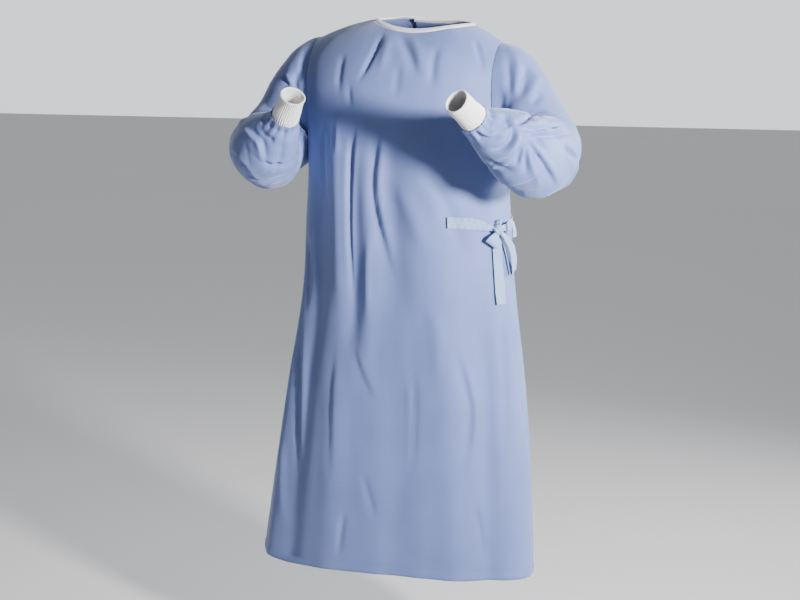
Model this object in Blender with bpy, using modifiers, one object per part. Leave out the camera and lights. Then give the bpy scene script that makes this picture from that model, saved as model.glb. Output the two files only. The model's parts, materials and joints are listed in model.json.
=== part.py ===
"""A surgical gown in its worn, hollow form, cut and sewn from thin cloth walls.

Metres, +Z up. The gown faces -Y and +X is the wearer's left. The origin is the point between the
shoulders where the wearer carries the gown.
"""

import math

import bmesh
import bpy
import numpy as np
from mathutils import Vector
from mathutils.bvhtree import BVHTree

# Walls and gaps
CLOTH_WALL = 0.0015
KNIT_WALL = 0.0022
BINDING_WALL = 0.0026
TIE_WALL = 0.0014
SEAM_GAP = 0.0003
SLEEVE_GAP = 0.0010
LAP_LIFT = 0.0050

# Shoulders and neck
RIDGE_Y = 0.020
RIDGE_HALF_WIDTH = 0.207
CHEST_HEIGHT = -0.150
UNDERARM_HEIGHT = -0.300
ARMHOLE_FRONT = 0.070
ARMHOLE_BACK = 0.074
FRONT_ROLL = 2.0
BACK_ROLL = 3.0
NECK_CENTRE_X = 0.034
NECK_HALF_WIDTH = 0.102
NECK_FRONT_DEPTH = 0.082
NECK_BACK_DEPTH = 0.046
BINDING_WIDTH = 0.012
BINDING_LIFT = CLOTH_WALL / 2

# Sleeves and cuffs
ELBOW_BEND = 0.094
WRIST_BEND = 0.060
SLEEVE_STRAIGHT = 0.006
SLEEVE_BLEND = 0.105
ARMPIT_REACH = 0.160
ARMPIT_CLEARANCE = 0.0045
SLEEVE_END = 0.006
GATHERS = 10
GATHER_DEPTH = 0.0018
GATHER_REACH = 0.045
CUFF_LENGTH = 0.070
CUFF_BASE_RADIUS = 0.0305
CUFF_MOUTH_RADIUS = 0.0255
CUFF_RIBS = 24
RIB_DEPTH = 0.0006

# Waist tie
KNOT_SIZE = (0.010, 0.013, 0.0115)
KNOT_PLACE = (67.0, -0.446, 0.0145)
KNOT_GAP = 0.0004
KNOT_COLUMNS = 16
KNOT_ROWS = 10

# The side seams' quarters, as seen from the back panels
LEFT_SEAM_BACK = 1.000001
RIGHT_SEAM_BACK = 2.999999

# Grid cells
SHOULDER_CELLS = 6
NECK_CELLS = 11
BACK_NECK_CELLS = 8
SEAM_CELLS = 3
TOP_ROWS = 6
CHEST_ROWS = 6
SKIRT_ROWS = 14
SLEEVE_COLUMNS = 24
STRIP_CELLS = 3
SLEEVE_ROWS = 22


class Table:
    """Rows of sizes with named columns, read smoothly along the first one."""

    def __init__(self, names, *rows):
        self.names = names
        self.rows = rows
        self.columns = dict(zip(names, np.array(rows, float).T))
        self.keys = self.columns[names[0]]

    def read(self, name, at):
        keys, values = self.keys, self.columns[name]
        slopes = np.gradient(values, keys)
        at = min(max(at, keys[0]), keys[-1])
        i = int(np.clip(np.searchsorted(keys, at) - 1, 0, len(keys) - 2))
        span = keys[i + 1] - keys[i]
        t = (at - keys[i]) / span
        start = (1 + 2 * t) * (1 - t) ** 2 * values[i] + t * (1 - t) ** 2 * span * slopes[i]
        end = t * t * (3 - 2 * t) * values[i + 1] - t * t * (1 - t) * span * slopes[i + 1]
        return start + end

    def each(self):
        return [dict(zip(self.names, row)) for row in self.rows]


# The body's level sections. round is the exponent of the superellipse.
BODY = Table(
    ("height", "half_width", "front", "back", "shift", "round"),
    (-1.217, 0.322, 0.142, 0.160, -0.028, 2.15),
    (-1.000, 0.300, 0.138, 0.150, -0.015, 2.20),
    (-0.800, 0.275, 0.135, 0.138, -0.004, 2.20),
    (-0.620, 0.246, 0.131, 0.122, 0.002, 2.25),
    (-0.480, 0.234, 0.130, 0.114, 0.000, 2.30),
    (-0.300, 0.224, 0.135, 0.115, 0.000, 2.35),
    (-0.150, 0.236, 0.128, 0.112, 0.000, 2.30),
)

# The shoulder ridge: height over the distance to the wearer's left
RIDGE = Table(
    ("x", "height"),
    (-0.210, -0.047),
    (-0.150, -0.023),
    (-0.075, -0.007),
    (0.030, -0.002),
    (0.120, -0.011),
    (0.170, -0.032),
    (0.210, -0.060),
)

# How much lower the hem hangs than its level, by turn round the body in degrees
HEM = Table(
    ("turn", "drop"),
    (-180.0, 0.000),
    (-90.0, 0.000),
    (-50.0, 0.013),
    (-15.0, 0.004),
    (20.0, 0.000),
    (55.0, 0.003),
    (82.0, 0.009),
    (110.0, 0.003),
    (180.0, 0.000),
)

# The body's largest folds, by turn round the body in degrees and height. depth is outwards.
FOLDS = Table(
    ("turn_top", "turn_end", "top", "end", "width", "depth"),
    (-29.0, -25.0, -0.15, -0.66, 0.026, 0.0070),
    (-18.0, -16.0, -0.20, -0.75, 0.024, -0.0080),
    (-9.0, -10.0, -0.26, -0.80, 0.022, 0.0050),
    (-1.0, 3.0, -0.18, -0.66, 0.026, -0.0075),
    (18.0, 24.0, -0.16, -0.80, 0.060, 0.0080),
    (-46.0, -42.0, -0.22, -1.22, 0.034, -0.0080),
    (-66.0, -60.0, -0.50, -1.24, 0.036, 0.0070),
    (-22.0, -20.0, -0.72, -1.24, 0.034, 0.0050),
    (4.0, 7.0, -0.72, -1.24, 0.036, -0.0055),
    (28.0, 32.0, -0.60, -1.24, 0.040, 0.0060),
    (50.0, 50.0, -0.55, -1.24, 0.036, -0.0070),
    (112.0, 112.0, -0.40, -1.24, 0.046, -0.0070),
    (148.0, 144.0, -0.20, -1.24, 0.052, 0.0065),
    (184.0, 184.0, -0.20, -1.24, 0.056, -0.0070),
    (218.0, 214.0, -0.20, -1.24, 0.052, 0.0065),
    (246.0, 244.0, -0.40, -1.24, 0.046, -0.0070),
)

# How far each back panel's free edge drifts from its start on the neckline, in quarters of a turn
FREE_EDGES = Table(
    ("level", "outer", "under"),
    (0.00, 0.00, 0.00),
    (0.30, 0.00, 0.00),
    (0.45, 0.00, 0.00),
    (1.00, -0.14, 0.05),
    (2.00, -0.40, 0.10),
    (2.20, -0.52, 0.12),
    (3.00, -0.56, 0.12),
)
NECK_STARTS = {"outer": 282.0, "under": 246.0}

# Each arm: its side, the elbow's and the wrist's corners, and the cuff's mouth
ARMS = {
    "left": {"side": 1, "corners": ((0.390, -0.088, -0.335), (0.244, -0.268, -0.212),
                                    (0.217, -0.331, -0.165))},
    "right": {"side": -1, "corners": ((-0.414, -0.052, -0.400), (-0.212, -0.202, -0.232),
                                      (-0.165, -0.246, -0.164))},
}

# Half the sleeve's height and depth along its length
GIRTH = Table(
    ("share", "half_height", "half_depth"),
    (0.00, 0.100, 0.080),
    (0.20, 0.088, 0.078),
    (0.42, 0.080, 0.076),
    (0.62, 0.078, 0.074),
    (0.78, 0.068, 0.066),
    (0.90, 0.050, 0.049),
    (1.00, 0.0305, 0.0305),
)

# The sleeves' largest folds: share of the length, angle round from the top by the front, size
SLEEVE_FOLDS = Table(
    ("share", "angle", "reach", "spread", "depth"),
    (0.16, 60.0, 0.035, 50.0, -0.0060),
    (0.30, 100.0, 0.030, 45.0, 0.0050),
    (0.44, 20.0, 0.022, 60.0, -0.0060),
    (0.53, 90.0, 0.020, 40.0, -0.0060),
    (0.60, 180.0, 0.030, 60.0, 0.0070),
    (0.68, 60.0, 0.022, 70.0, -0.0060),
    (0.50, 260.0, 0.030, 60.0, -0.0050),
    (0.28, 250.0, 0.030, 60.0, 0.0050),
    (0.80, 200.0, 0.022, 70.0, -0.0050),
)

MATERIALS = {
    "nonwoven": {"colour": (0.30, 0.37, 0.55), "roughness": 0.82},
    "white_knit": {"colour": (0.90, 0.90, 0.88), "roughness": 0.90},
    "white_binding": {"colour": (0.86, 0.87, 0.88), "roughness": 0.80},
    "tie_cloth": {"colour": (0.38, 0.46, 0.64), "roughness": 0.78},
}


def smooth_step(t):
    t = min(max(t, 0.0), 1.0)
    return t * t * (3 - 2 * t)


def mix(a, b, share):
    return a + (b - a) * share


def signed_power(value, exponent):
    return math.copysign(abs(value) ** exponent, value)


def halve(low, high, is_low):
    """Closes in on the value where is_low stops being true."""
    for _ in range(40):
        middle = (low + high) / 2
        if is_low(middle):
            low = middle
        else:
            high = middle
    return (low + high) / 2


# The body's form. A place on it is a quarter and a level. Quarters go round: 0 is the centre
# front, 1 the wearer's left side, 2 the centre back, 3 (or -1) the right side. Levels go down:
# 0 is the shoulder ridge, 1 the chest, 2 the underarm and 3 the hem.


def section_point(turn, height):
    """A point of a level section, by the angle round it from the centre front."""
    exponent = 2 / BODY.read("round", height)
    across = signed_power(math.sin(math.radians(turn)), exponent)
    along = math.cos(math.radians(turn))
    depth = -BODY.read("front", height) if along >= 0 else BODY.read("back", height)
    x = BODY.read("shift", height) + BODY.read("half_width", height) * across
    return Vector((x, depth * abs(along) ** exponent, height))


def level_height(level):
    if level < 2:
        return mix(CHEST_HEIGHT, UNDERARM_HEIGHT, math.sin(math.radians(90 * (level - 1))))
    return mix(UNDERARM_HEIGHT, BODY.keys[0], level - 2)


def armhole_turn(level, is_front):
    """How far a panel reaches round the section from its centre line, in degrees."""
    if level >= 2:
        return 90.0
    height = level_height(max(level, 1.0))
    depth = BODY.read("front" if is_front else "back", height)
    edge = ARMHOLE_FRONT if is_front else ARMHOLE_BACK
    drop = math.cos(math.radians(90 * (max(level, 1.0) - 1)))
    share = (edge * drop / depth) ** (BODY.read("round", height) / 2)
    return math.degrees(math.acos(share))


def turn_of(quarter, level):
    """The angle round the section. Above the underarm the panels stop at the armhole's curve."""
    is_front = abs(quarter) <= 1
    centre, middle = (0, 0.0) if is_front else (2, 180.0)
    chest_reach = armhole_turn(1.0, is_front)
    reach = armhole_turn(level, is_front)
    away = quarter - centre
    return middle + away * (chest_reach + (reach - chest_reach) * abs(away))


def ridge_point(quarter):
    """The shoulder ridge above a column, spaced as the column's chest points are."""
    edge = section_point(turn_of(1.0 if abs(quarter) <= 1 else LEFT_SEAM_BACK, 1.0), CHEST_HEIGHT).x
    x = RIDGE_HALF_WIDTH * section_point(turn_of(quarter, 1.0), CHEST_HEIGHT).x / edge
    return Vector((x, RIDGE_Y, RIDGE.read("height", x)))


def smooth_body(quarter, level):
    """The body without folds."""
    if level >= 1:
        turn = turn_of(quarter, level)
        point = section_point(turn, level_height(level))
        point.z -= HEM.read("drop", (turn + 180) % 360 - 180) * max(level - 2, 0.0) ** 2
        return point
    top = ridge_point(quarter)
    chest = section_point(turn_of(quarter, 1.0), CHEST_HEIGHT)
    out = math.sin(math.radians(90 * level))
    roll = FRONT_ROLL if abs(quarter) <= 1 else BACK_ROLL
    point = top.lerp(chest, out)
    point.z = mix(top.z, chest.z, 1 - (1 - out ** roll) ** (1 / roll))
    return point


def fold_depth(turn, point):
    """How far the folds push the cloth out at this turn and height."""
    total = 0.0
    for fold in FOLDS.each():
        run = (fold["top"] - point.z) / (fold["top"] - fold["end"])
        if not 0 < run < 1:
            continue
        centre = mix(fold["turn_top"], fold["turn_end"], run)
        away = (turn - centre + 180) % 360 - 180
        arc = math.radians(away) * BODY.read("half_width", point.z)
        fade = smooth_step(run / 0.25)
        total += fold["depth"] * fade * math.exp(-((arc / fold["width"]) ** 2))
    return total


def body_normal(quarter, level):
    """Outwards from the smooth body, looking to the inner side at the armhole's edge."""
    step = 0.004
    low, high = quarter - step, quarter + step
    if level < 2:
        low, high = (max(low, -1.0), min(high, 1.0)) if abs(quarter) <= 1 else (
            max(low, LEFT_SEAM_BACK), min(high, RIGHT_SEAM_BACK))
    around = smooth_body(high, level) - smooth_body(low, level)
    down = smooth_body(quarter, min(level + 0.01, 3.0)) - smooth_body(quarter, max(level - 0.01, 0.0))
    return down.cross(around).normalized()


def body_point(quarter, level, lift=0.0):
    point = smooth_body(quarter, level)
    push = fold_depth(turn_of(quarter, level), point) + lift
    return point + body_normal(quarter, level) * push


def quarter_at(x, is_back):
    """The column whose ridge point lies at x."""
    if is_back:
        return halve(LEFT_SEAM_BACK, RIGHT_SEAM_BACK, lambda quarter: ridge_point(quarter).x > x)
    return halve(-1.0, 1.0, lambda quarter: ridge_point(quarter).x < x)


def neck_place(angle, grow, is_back=False):
    """The quarter and level of a point of the neck's oval: 0 at the left, 90 in front, 270 behind."""
    sweep = math.radians(angle)
    depth = (NECK_BACK_DEPTH if is_back else NECK_FRONT_DEPTH) + grow
    x = NECK_CENTRE_X + (NECK_HALF_WIDTH + grow) * math.cos(sweep)
    y = RIDGE_Y - depth * math.sin(sweep)
    ridge_x, out = x, 0.0
    for _ in range(8):
        quarter = quarter_at(ridge_x, is_back)
        chest = section_point(turn_of(quarter, 1.0), CHEST_HEIGHT)
        out = (y - RIDGE_Y) / (chest.y - RIDGE_Y)
        ridge_x = x - (chest.x - ridge_x) * out
    return quarter, math.degrees(math.asin(min(max(out, 0.0), 1.0))) / 90


def row_levels(start):
    """The levels of a column's rows, from its start on the ridge or neckline to the hem."""
    top = [mix(start, 1, row / TOP_ROWS) for row in range(TOP_ROWS)]
    chest = [1 + row / CHEST_ROWS for row in range(CHEST_ROWS)]
    skirt = [2 + row / SKIRT_ROWS for row in range(SKIRT_ROWS + 1)]
    return top + chest + skirt


# Meshes


def grid_mesh(name, grid, closed=False):
    """A grid of points as a sheet of faces. closed joins its last column to its first."""
    columns, rows = len(grid), len(grid[0])
    mesh = bmesh.new()
    bmesh.ops.create_grid(mesh, x_segments=columns - 1, y_segments=rows - 1, size=0.5)
    for vertex in mesh.verts:
        column = round((vertex.co.x + 0.5) * (columns - 1))
        row = round((0.5 - vertex.co.y) * (rows - 1))
        vertex.co = grid[column][row]
    if closed:
        bmesh.ops.remove_doubles(mesh, verts=mesh.verts, dist=1e-6)
    data = bpy.data.meshes.new(name)
    mesh.to_mesh(data)
    mesh.free()
    return data


def pull_in(line, inner, gap):
    """A row or column of edge points moved towards the next one by the gap."""
    return [a + (b - a).normalized() * gap for a, b in zip(line, inner)]


def trim_edges(grid, sides, gap=SEAM_GAP / 2):
    """Opens half a seam gap along the named edges of a grid of points."""
    if "first" in sides:
        grid[0] = pull_in(grid[0], grid[1], gap)
    if "last" in sides:
        grid[-1] = pull_in(grid[-1], grid[-2], gap)
    if "top" in sides:
        for column in grid:
            column[0] = column[0] + (column[1] - column[0]).normalized() * gap
    return grid


def make_object(name, data, material, wall=None, offset=1.0):
    data.shade_smooth()
    data.materials.append(material)
    made = bpy.data.objects.new(name, data)
    collection().objects.link(made)
    if wall:
        solid = made.modifiers.new("Wall", "SOLIDIFY")
        solid.thickness = wall
        solid.offset = offset
        solid.use_even_offset = True
        solid.use_quality_normals = True
    return made


def collection():
    found = bpy.data.collections.get("surgical_gown")
    if not found:
        found = bpy.data.collections.new("surgical_gown")
        bpy.context.scene.collection.children.link(found)
    return found


def make_material(name):
    values = MATERIALS[name]
    material = bpy.data.materials.new(name)
    material.use_nodes = True
    shader = material.node_tree.nodes["Principled BSDF"]
    shader.inputs["Base Color"].default_value = (*values["colour"], 1)
    shader.inputs["Roughness"].default_value = values["roughness"]
    shader.inputs["Metallic"].default_value = 0.0
    return material


# Panels


def spread(start, end, cells):
    return [mix(start, end, i / cells) for i in range(cells + 1)]


def front_panel(material):
    neck = [neck_place(angle, BINDING_WIDTH) for angle in spread(180.0, 0.0, NECK_CELLS)]
    right = [(quarter, 0.0) for quarter in spread(-1.0, neck[0][0], SHOULDER_CELLS + 2)]
    left = [(quarter, 0.0) for quarter in spread(neck[-1][0], 1.0, SHOULDER_CELLS)]
    starts = right[:-1] + neck + left[1:]
    grid = [[body_point(quarter, level) for level in row_levels(start)]
            for quarter, start in starts]
    trim_edges(grid, ("first", "last", "top"))
    return make_object("front_panel", grid_mesh("front_panel", grid), material, CLOTH_WALL)


def lap_lift(quarter, under_quarter):
    """The outer back panel clears the under one where they lap."""
    return LAP_LIFT * smooth_step((under_quarter + 0.20 - quarter) / 0.14)


def back_panel(name, edge_name, seam, neck_side, material):
    """A half of the back. seam is its side's quarter and neck_side its end of the neckline."""
    starts = [neck_place(angle, BINDING_WIDTH, is_back=True)
              for angle in spread(neck_side, NECK_STARTS[edge_name], BACK_NECK_CELLS)]
    shoulder = [(quarter, 0.0) for quarter in spread(seam, starts[0][0], SEAM_CELLS + 2)]
    starts = shoulder[:-1] + starts
    under_start = neck_place(NECK_STARTS["under"], BINDING_WIDTH, is_back=True)[0]
    grid = []
    for start_quarter, start_level in starts:
        share = (start_quarter - seam) / (starts[-1][0] - seam)
        first_drift = FREE_EDGES.read(edge_name, start_level)
        column = []
        for level in row_levels(start_level):
            drift = FREE_EDGES.read(edge_name, level) - first_drift
            quarter = start_quarter + drift * share
            under = under_start + FREE_EDGES.read("under", level)
            lift = lap_lift(quarter, under) if edge_name == "outer" else 0.0
            column.append(body_point(quarter, level, lift))
        grid.append(column)
    trim_edges(grid, ("first", "top"))
    if seam > 2:
        grid.reverse()
    return make_object(name, grid_mesh(name, grid), material, CLOTH_WALL)


# Sleeves


def armhole_place(side, angle):
    """The quarter and level on the armhole's edge: 0 at the shoulder, 90 in front, 180 below."""
    sweep = math.radians(angle)
    is_front = math.sin(sweep) >= 0
    if math.cos(sweep) >= 0:
        level = math.degrees(math.asin(min(1.0, abs(math.sin(sweep))))) / 90
    else:
        level = 1 + math.degrees(math.asin(min(1.0, abs(math.cos(sweep))))) / 90
    if is_front:
        return float(side), level
    return (LEFT_SEAM_BACK if side > 0 else RIGHT_SEAM_BACK), level


def armhole_point(side, angle):
    return body_point(*armhole_place(side, angle))


class ArmPath:
    """Straight runs joined by arcs at the elbow and the wrist, with a frame carried along."""

    def __init__(self, side, corners):
        self.side = side
        top, bottom = armhole_point(side, 0), armhole_point(side, 180)
        points = [(top + bottom) / 2] + [Vector(corner) for corner in corners]
        self.pieces = []
        headings = [(b - a).normalized() for a, b in zip(points, points[1:])]
        bends = (ELBOW_BEND, WRIST_BEND)
        begin = points[0]
        for i, radius in enumerate(bends):
            turn = headings[i].angle(headings[i + 1])
            cut = radius * math.tan(turn / 2)
            end = points[i + 1] - headings[i] * cut
            self.pieces.append(("run", begin, headings[i], (end - begin).length))
            inward = headings[i].cross(headings[i + 1]).cross(headings[i]).normalized()
            self.pieces.append(("bend", end, headings[i], inward, radius, radius * turn))
            begin = points[i + 1] + headings[i + 1] * cut
        self.pieces.append(("run", begin, headings[-1], (points[-1] - begin).length))
        self.full = sum(piece[-1] for piece in self.pieces)
        self.length = self.full - CUFF_LENGTH

    def at(self, distance):
        """The centre and the direction at a distance along the arm."""
        for piece in self.pieces:
            if distance <= piece[-1] or piece is self.pieces[-1]:
                break
            distance -= piece[-1]
        if piece[0] == "run":
            return piece[1] + piece[2] * distance, piece[2]
        _, begin, first, inward, radius, _ = piece
        angle = distance / radius
        centre = begin + radius * (first * math.sin(angle) + inward * (1 - math.cos(angle)))
        return centre, first * math.cos(angle) + inward * math.sin(angle)

    def frame(self, distance):
        """The ring's up and forward directions, turned with the bends and not twisted."""
        first, last = self.pieces[0][2], self.pieces[2][2]
        up = (Vector((0, 0, 1)) - first * first.z).normalized()
        _, heading = self.at(distance)
        elbow_end = sum(piece[-1] for piece in self.pieces[:2])
        if distance <= elbow_end:
            up.rotate(first.rotation_difference(heading))
        else:
            up.rotate(first.rotation_difference(last))
            up.rotate(last.rotation_difference(heading))
        return up, heading.cross(up) * self.side


def sleeve_fold(arm, share, angle):
    total = 0.0
    for fold in SLEEVE_FOLDS.each():
        along = (share - fold["share"]) / fold["reach"]
        around = ((angle - fold["angle"] + 180) % 360 - 180) / fold["spread"]
        total += fold["depth"] * math.exp(-along * along - around * around)
    return total


def gather(distance_left, angle):
    fade = smooth_step(distance_left / 0.012) * smooth_step(1 - distance_left / GATHER_REACH)
    return GATHER_DEPTH * fade * math.cos(math.radians(angle * GATHERS))


def sleeve_point(arm, distance, angle):
    share = min(distance / (arm.length - SLEEVE_END), 1.0)
    centre, _ = arm.at(distance)
    up, forward = arm.frame(distance)
    swell = sleeve_fold(arm, share, angle) + gather(arm.length - distance, angle)
    high = GIRTH.read("half_height", share) + swell
    deep = GIRTH.read("half_depth", share) + swell
    turn = math.radians(angle)
    ring = centre + up * (high * math.cos(turn)) + forward * (deep * math.sin(turn))
    outward = Vector((arm.side, 0, 0))
    start = armhole_point(arm.side, angle) + outward * seam_clearance(arm.side, angle)
    straight = start + outward * distance
    point = straight.lerp(ring, smooth_step((distance - SLEEVE_STRAIGHT) / SLEEVE_BLEND))
    if distance < ARMPIT_REACH:
        keep_outside(point, start, distance, arm.side)
    return point


def side_reach(point):
    """How far the body's section reaches sideways at the point's depth and height."""
    power = BODY.read("round", point.z)
    depth = BODY.read("front" if point.y < 0 else "back", point.z)
    share = min(abs(point.y) / depth, 1.0)
    return BODY.read("half_width", point.z) * (1 - share ** power) ** (1 / power)


def keep_outside(point, start, distance, side):
    """Holds the upper sleeve clear of its armhole and of the body's side round it."""
    least = start.x * side
    if point.z < CHEST_HEIGHT:
        clearance = min(ARMPIT_CLEARANCE, CLOTH_WALL + SLEEVE_GAP + distance / 3)
        least = max(least, side_reach(point) + clearance)
    point.x = side * max(point.x * side, least)


def seam_clearance(side, angle):
    """The body's wall leans outwards at the armhole, so the sleeve starts just past its edge."""
    lean = max(0.0, body_normal(*armhole_place(side, angle)).x * side)
    return SLEEVE_GAP + CLOTH_WALL * lean


def sleeve(arm_name, arm, material):
    stations = [0.0, SLEEVE_STRAIGHT]
    stations += spread(SLEEVE_STRAIGHT, arm.length - SLEEVE_END, SLEEVE_ROWS)[1:]
    stations.append(arm.length)
    angles = spread(0.0, 360.0, SLEEVE_COLUMNS)
    grid = [[sleeve_point(arm, distance, angle % 360) for distance in stations]
            for angle in angles]
    if arm.side > 0:
        grid.reverse()
    name = "sleeve_" + arm_name
    make_object(name, grid_mesh(name, grid, closed=True), material, CLOTH_WALL)


def cuff(arm_name, arm, material):
    """A knit tube that narrows to its mouth, with ribs on its outside only."""
    centre, heading = arm.at(arm.length)
    up, forward = arm.frame(arm.length)
    columns = CUFF_RIBS * 2
    rows = ((0.0, 0.0), (0.12, 1.0), (0.88, 1.0), (1.0, 0.0))
    inner, outer = [], []
    for i in range(columns + 1):
        turn = 2 * math.pi * (i % columns) / columns
        spoke = up * math.cos(turn) + forward * math.sin(turn)
        inner_line, outer_line = [], []
        for share, rib in rows:
            radius = mix(CUFF_BASE_RADIUS, CUFF_MOUTH_RADIUS, smooth_step(share))
            base = centre + heading * (SEAM_GAP + CUFF_LENGTH * share)
            ribbed = RIB_DEPTH * rib * (1 if i % 2 else -1)
            inner_line.append(base + spoke * radius)
            outer_line.append(base + spoke * (radius + KNIT_WALL + ribbed))
        inner.append(inner_line)
        outer.append(outer_line)
    grid = [a + b[::-1] + a[:1] for a, b in zip(inner, outer)]
    if arm.side > 0:
        grid.reverse()
    name = "cuff_" + arm_name
    data = grid_mesh(name, grid, closed=True)
    made = bmesh.new()
    made.from_mesh(data)
    bmesh.ops.recalc_face_normals(made, faces=made.faces)
    made.to_mesh(data)
    made.free()
    make_object(name, data, material)


# Binding and ties


def neck_binding(material):
    """A folded strip on the neckline, from the outer back panel's edge round to the under one's."""
    behind_right = spread(NECK_STARTS["outer"], 180.0, BACK_NECK_CELLS)
    front = spread(180.0, 0.0, NECK_CELLS)
    behind_left = spread(360.0, NECK_STARTS["under"], BACK_NECK_CELLS)
    stations = [(angle, True) for angle in behind_right[:-1]]
    stations += [(angle, False) for angle in front]
    stations += [(angle, True) for angle in behind_left[1:]]
    under = neck_place(NECK_STARTS["under"], BINDING_WIDTH, is_back=True)[0]
    outer_line, inner_line = [], []
    for i, (angle, is_back) in enumerate(stations):
        lines = []
        for grow in (BINDING_WIDTH - SEAM_GAP, 0.0):
            quarter, level = neck_place(angle, grow, is_back)
            lapped = lap_lift(quarter, under) if i < len(behind_right) - 1 else 0.0
            lines.append(body_point(quarter, level, lapped + BINDING_LIFT))
        outer_line.append(lines[0])
        inner_line.append(lines[1])
    grid = [list(pair) for pair in zip(inner_line, outer_line)]
    data = grid_mesh("neck_binding", grid)
    make_object("neck_binding", data, material, BINDING_WALL, offset=0.0)


def face_tree(*objects):
    """The objects' inner faces, for finding what lies on them."""
    points, faces = [], []
    for made in objects:
        first = len(points)
        points += [vertex.co.copy() for vertex in made.data.vertices]
        faces += [[first + i for i in face.vertices] for face in made.data.polygons]
    return BVHTree.FromPolygons(points, faces)


def waist_normal(turn, height):
    """Level outwards direction of the body's section."""
    step = 0.5
    around = section_point(turn + step, height) - section_point(turn - step, height)
    return around.cross(Vector((0, 0, 1))).normalized()


def waist_point(panels, turn, height, lift):
    """A point lifted off the panels' own faces."""
    normal = waist_normal(turn, height)
    outside = section_point(turn, height) + normal * 0.05
    found = panels.ray_cast(outside, -normal, 0.1)[0]
    if found is None:
        found = panels.find_nearest(outside)[0]
    return found + normal * (CLOTH_WALL + lift)


def knot_frame(panels):
    """The knot's centre and its turn from its own axes, X being outwards."""
    turn, height, lift = KNOT_PLACE
    return waist_point(panels, turn, height, lift), waist_normal(turn, height).to_track_quat("X", "Z")


def knot_edge(panels, toward):
    """The place just off the knot's surface on the way to another point."""
    centre, facing = knot_frame(panels)
    way = toward - centre
    local = facing.inverted() @ way
    reach = 1 / Vector([a / b for a, b in zip(local, KNOT_SIZE)]).length
    return centre + way * reach + way.normalized() * KNOT_GAP


def strip(name, panels, material, rows, lean=0.0, knot_ends=()):
    """A flat tie along rows of turn, height, lift and width. lean turns its width off level."""
    path = Table(("along", "turn", "height", "lift", "width"),
                 *[(float(i), *row) for i, row in enumerate(rows)])
    grid = []
    for along in spread(0.0, len(rows) - 1.0, (len(rows) - 1) * STRIP_CELLS):
        turn, height, lift, width = [path.read(column, along) for column in path.names[1:]]
        level = Vector((0, 0, 1)).cross(waist_normal(turn, height))
        side = level * math.cos(math.radians(lean)) + Vector((0, 0, math.sin(math.radians(lean))))
        centre = waist_point(panels, turn, height, lift)
        grid.append([centre + side * width * share for share in (0.5, 0.0, -0.5)])
    for end in knot_ends:
        inner = STRIP_CELLS if end == 0 else -1 - STRIP_CELLS
        shift = knot_edge(panels, grid[inner][1]) - grid[end][1]
        for i in range(STRIP_CELLS):
            row = i if end == 0 else -1 - i
            fade = 1 - i / STRIP_CELLS
            grid[row] = [point + shift * fade for point in grid[row]]
    data = grid_mesh(name, grid)
    make_object(name, data, material, TIE_WALL, offset=0.0)


# The bow's strips: rows of turn, height, lift and width
TIE_STRIPS = {
    "waist_tie_front": {"lean": 90.0, "knot_ends": (-1,), "rows": (
        (30.5, -0.430, 0.0019, 0.0240), (36.0, -0.431, 0.0019, 0.0240),
        (42.0, -0.432, 0.0019, 0.0240), (48.0, -0.434, 0.0024, 0.0240),
        (54.0, -0.437, 0.0050, 0.0215), (59.0, -0.441, 0.0085, 0.0150),
        (62.8, -0.4435, 0.0128, 0.0090))},
    "waist_tie_back": {"lean": 90.0, "knot_ends": (-1,), "rows": (
        (138.0, -0.439, 0.0022, 0.0240), (131.0, -0.440, 0.0022, 0.0240),
        (124.5, -0.440, 0.0034, 0.0240), (119.0, -0.441, 0.0085, 0.0240),
        (112.0, -0.4415, 0.0050, 0.0240),
        (104.0, -0.442, 0.0022, 0.0240), (92.0, -0.443, 0.0030, 0.0240),
        (83.0, -0.444, 0.0060, 0.0210), (76.0, -0.445, 0.0095, 0.0150),
        (71.0, -0.446, 0.0130, 0.0120))},
    "tie_loop_front": {"lean": -35.0, "knot_ends": (0, -1), "rows": (
        (64.5, -0.4550, 0.0170, 0.0080), (63.0, -0.4600, 0.0185, 0.0170),
        (61.6, -0.4670, 0.0190, 0.0270), (60.3, -0.4750, 0.0165, 0.0320),
        (59.9, -0.4785, 0.0120, 0.0320), (60.3, -0.4750, 0.0082, 0.0300),
        (61.6, -0.4670, 0.0080, 0.0240), (63.0, -0.4600, 0.0115, 0.0150),
        (64.5, -0.4550, 0.0138, 0.0080))},
    "tie_tail_front": {"knot_ends": (0,), "rows": (
        (67.8, -0.4590, 0.0080, 0.0150), (67.7, -0.4680, 0.0045, 0.0230),
        (67.5, -0.4900, 0.0040, 0.0250), (67.3, -0.5250, 0.0040, 0.0255),
        (67.0, -0.5600, 0.0045, 0.0255), (66.8, -0.5900, 0.0050, 0.0255),
        (66.7, -0.6080, 0.0060, 0.0250))},
    "tie_loop_back": {"lean": 26.0, "knot_ends": (0, -1), "rows": (
        (70.0, -0.4575, 0.0165, 0.0080), (73.5, -0.4680, 0.0180, 0.0140),
        (78.5, -0.4880, 0.0180, 0.0200), (81.5, -0.5100, 0.0160, 0.0230),
        (83.0, -0.5350, 0.0125, 0.0240), (83.5, -0.5440, 0.0090, 0.0240),
        (83.0, -0.5350, 0.0055, 0.0230), (81.5, -0.5100, 0.0045, 0.0220),
        (78.5, -0.4880, 0.0055, 0.0190), (74.0, -0.4690, 0.0095, 0.0130),
        (70.5, -0.4585, 0.0125, 0.0080))},
    "tie_tail_back": {"knot_ends": (0,), "rows": (
        (67.5, -0.4320, 0.0150, 0.0050), (69.3, -0.4255, 0.0190, 0.0120),
        (73.0, -0.4250, 0.0260, 0.0180), (75.0, -0.4290, 0.0310, 0.0210),
        (76.5, -0.4400, 0.0340, 0.0220), (77.0, -0.4520, 0.0340, 0.0220),
        (77.0, -0.4640, 0.0320, 0.0220))},
}


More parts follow.
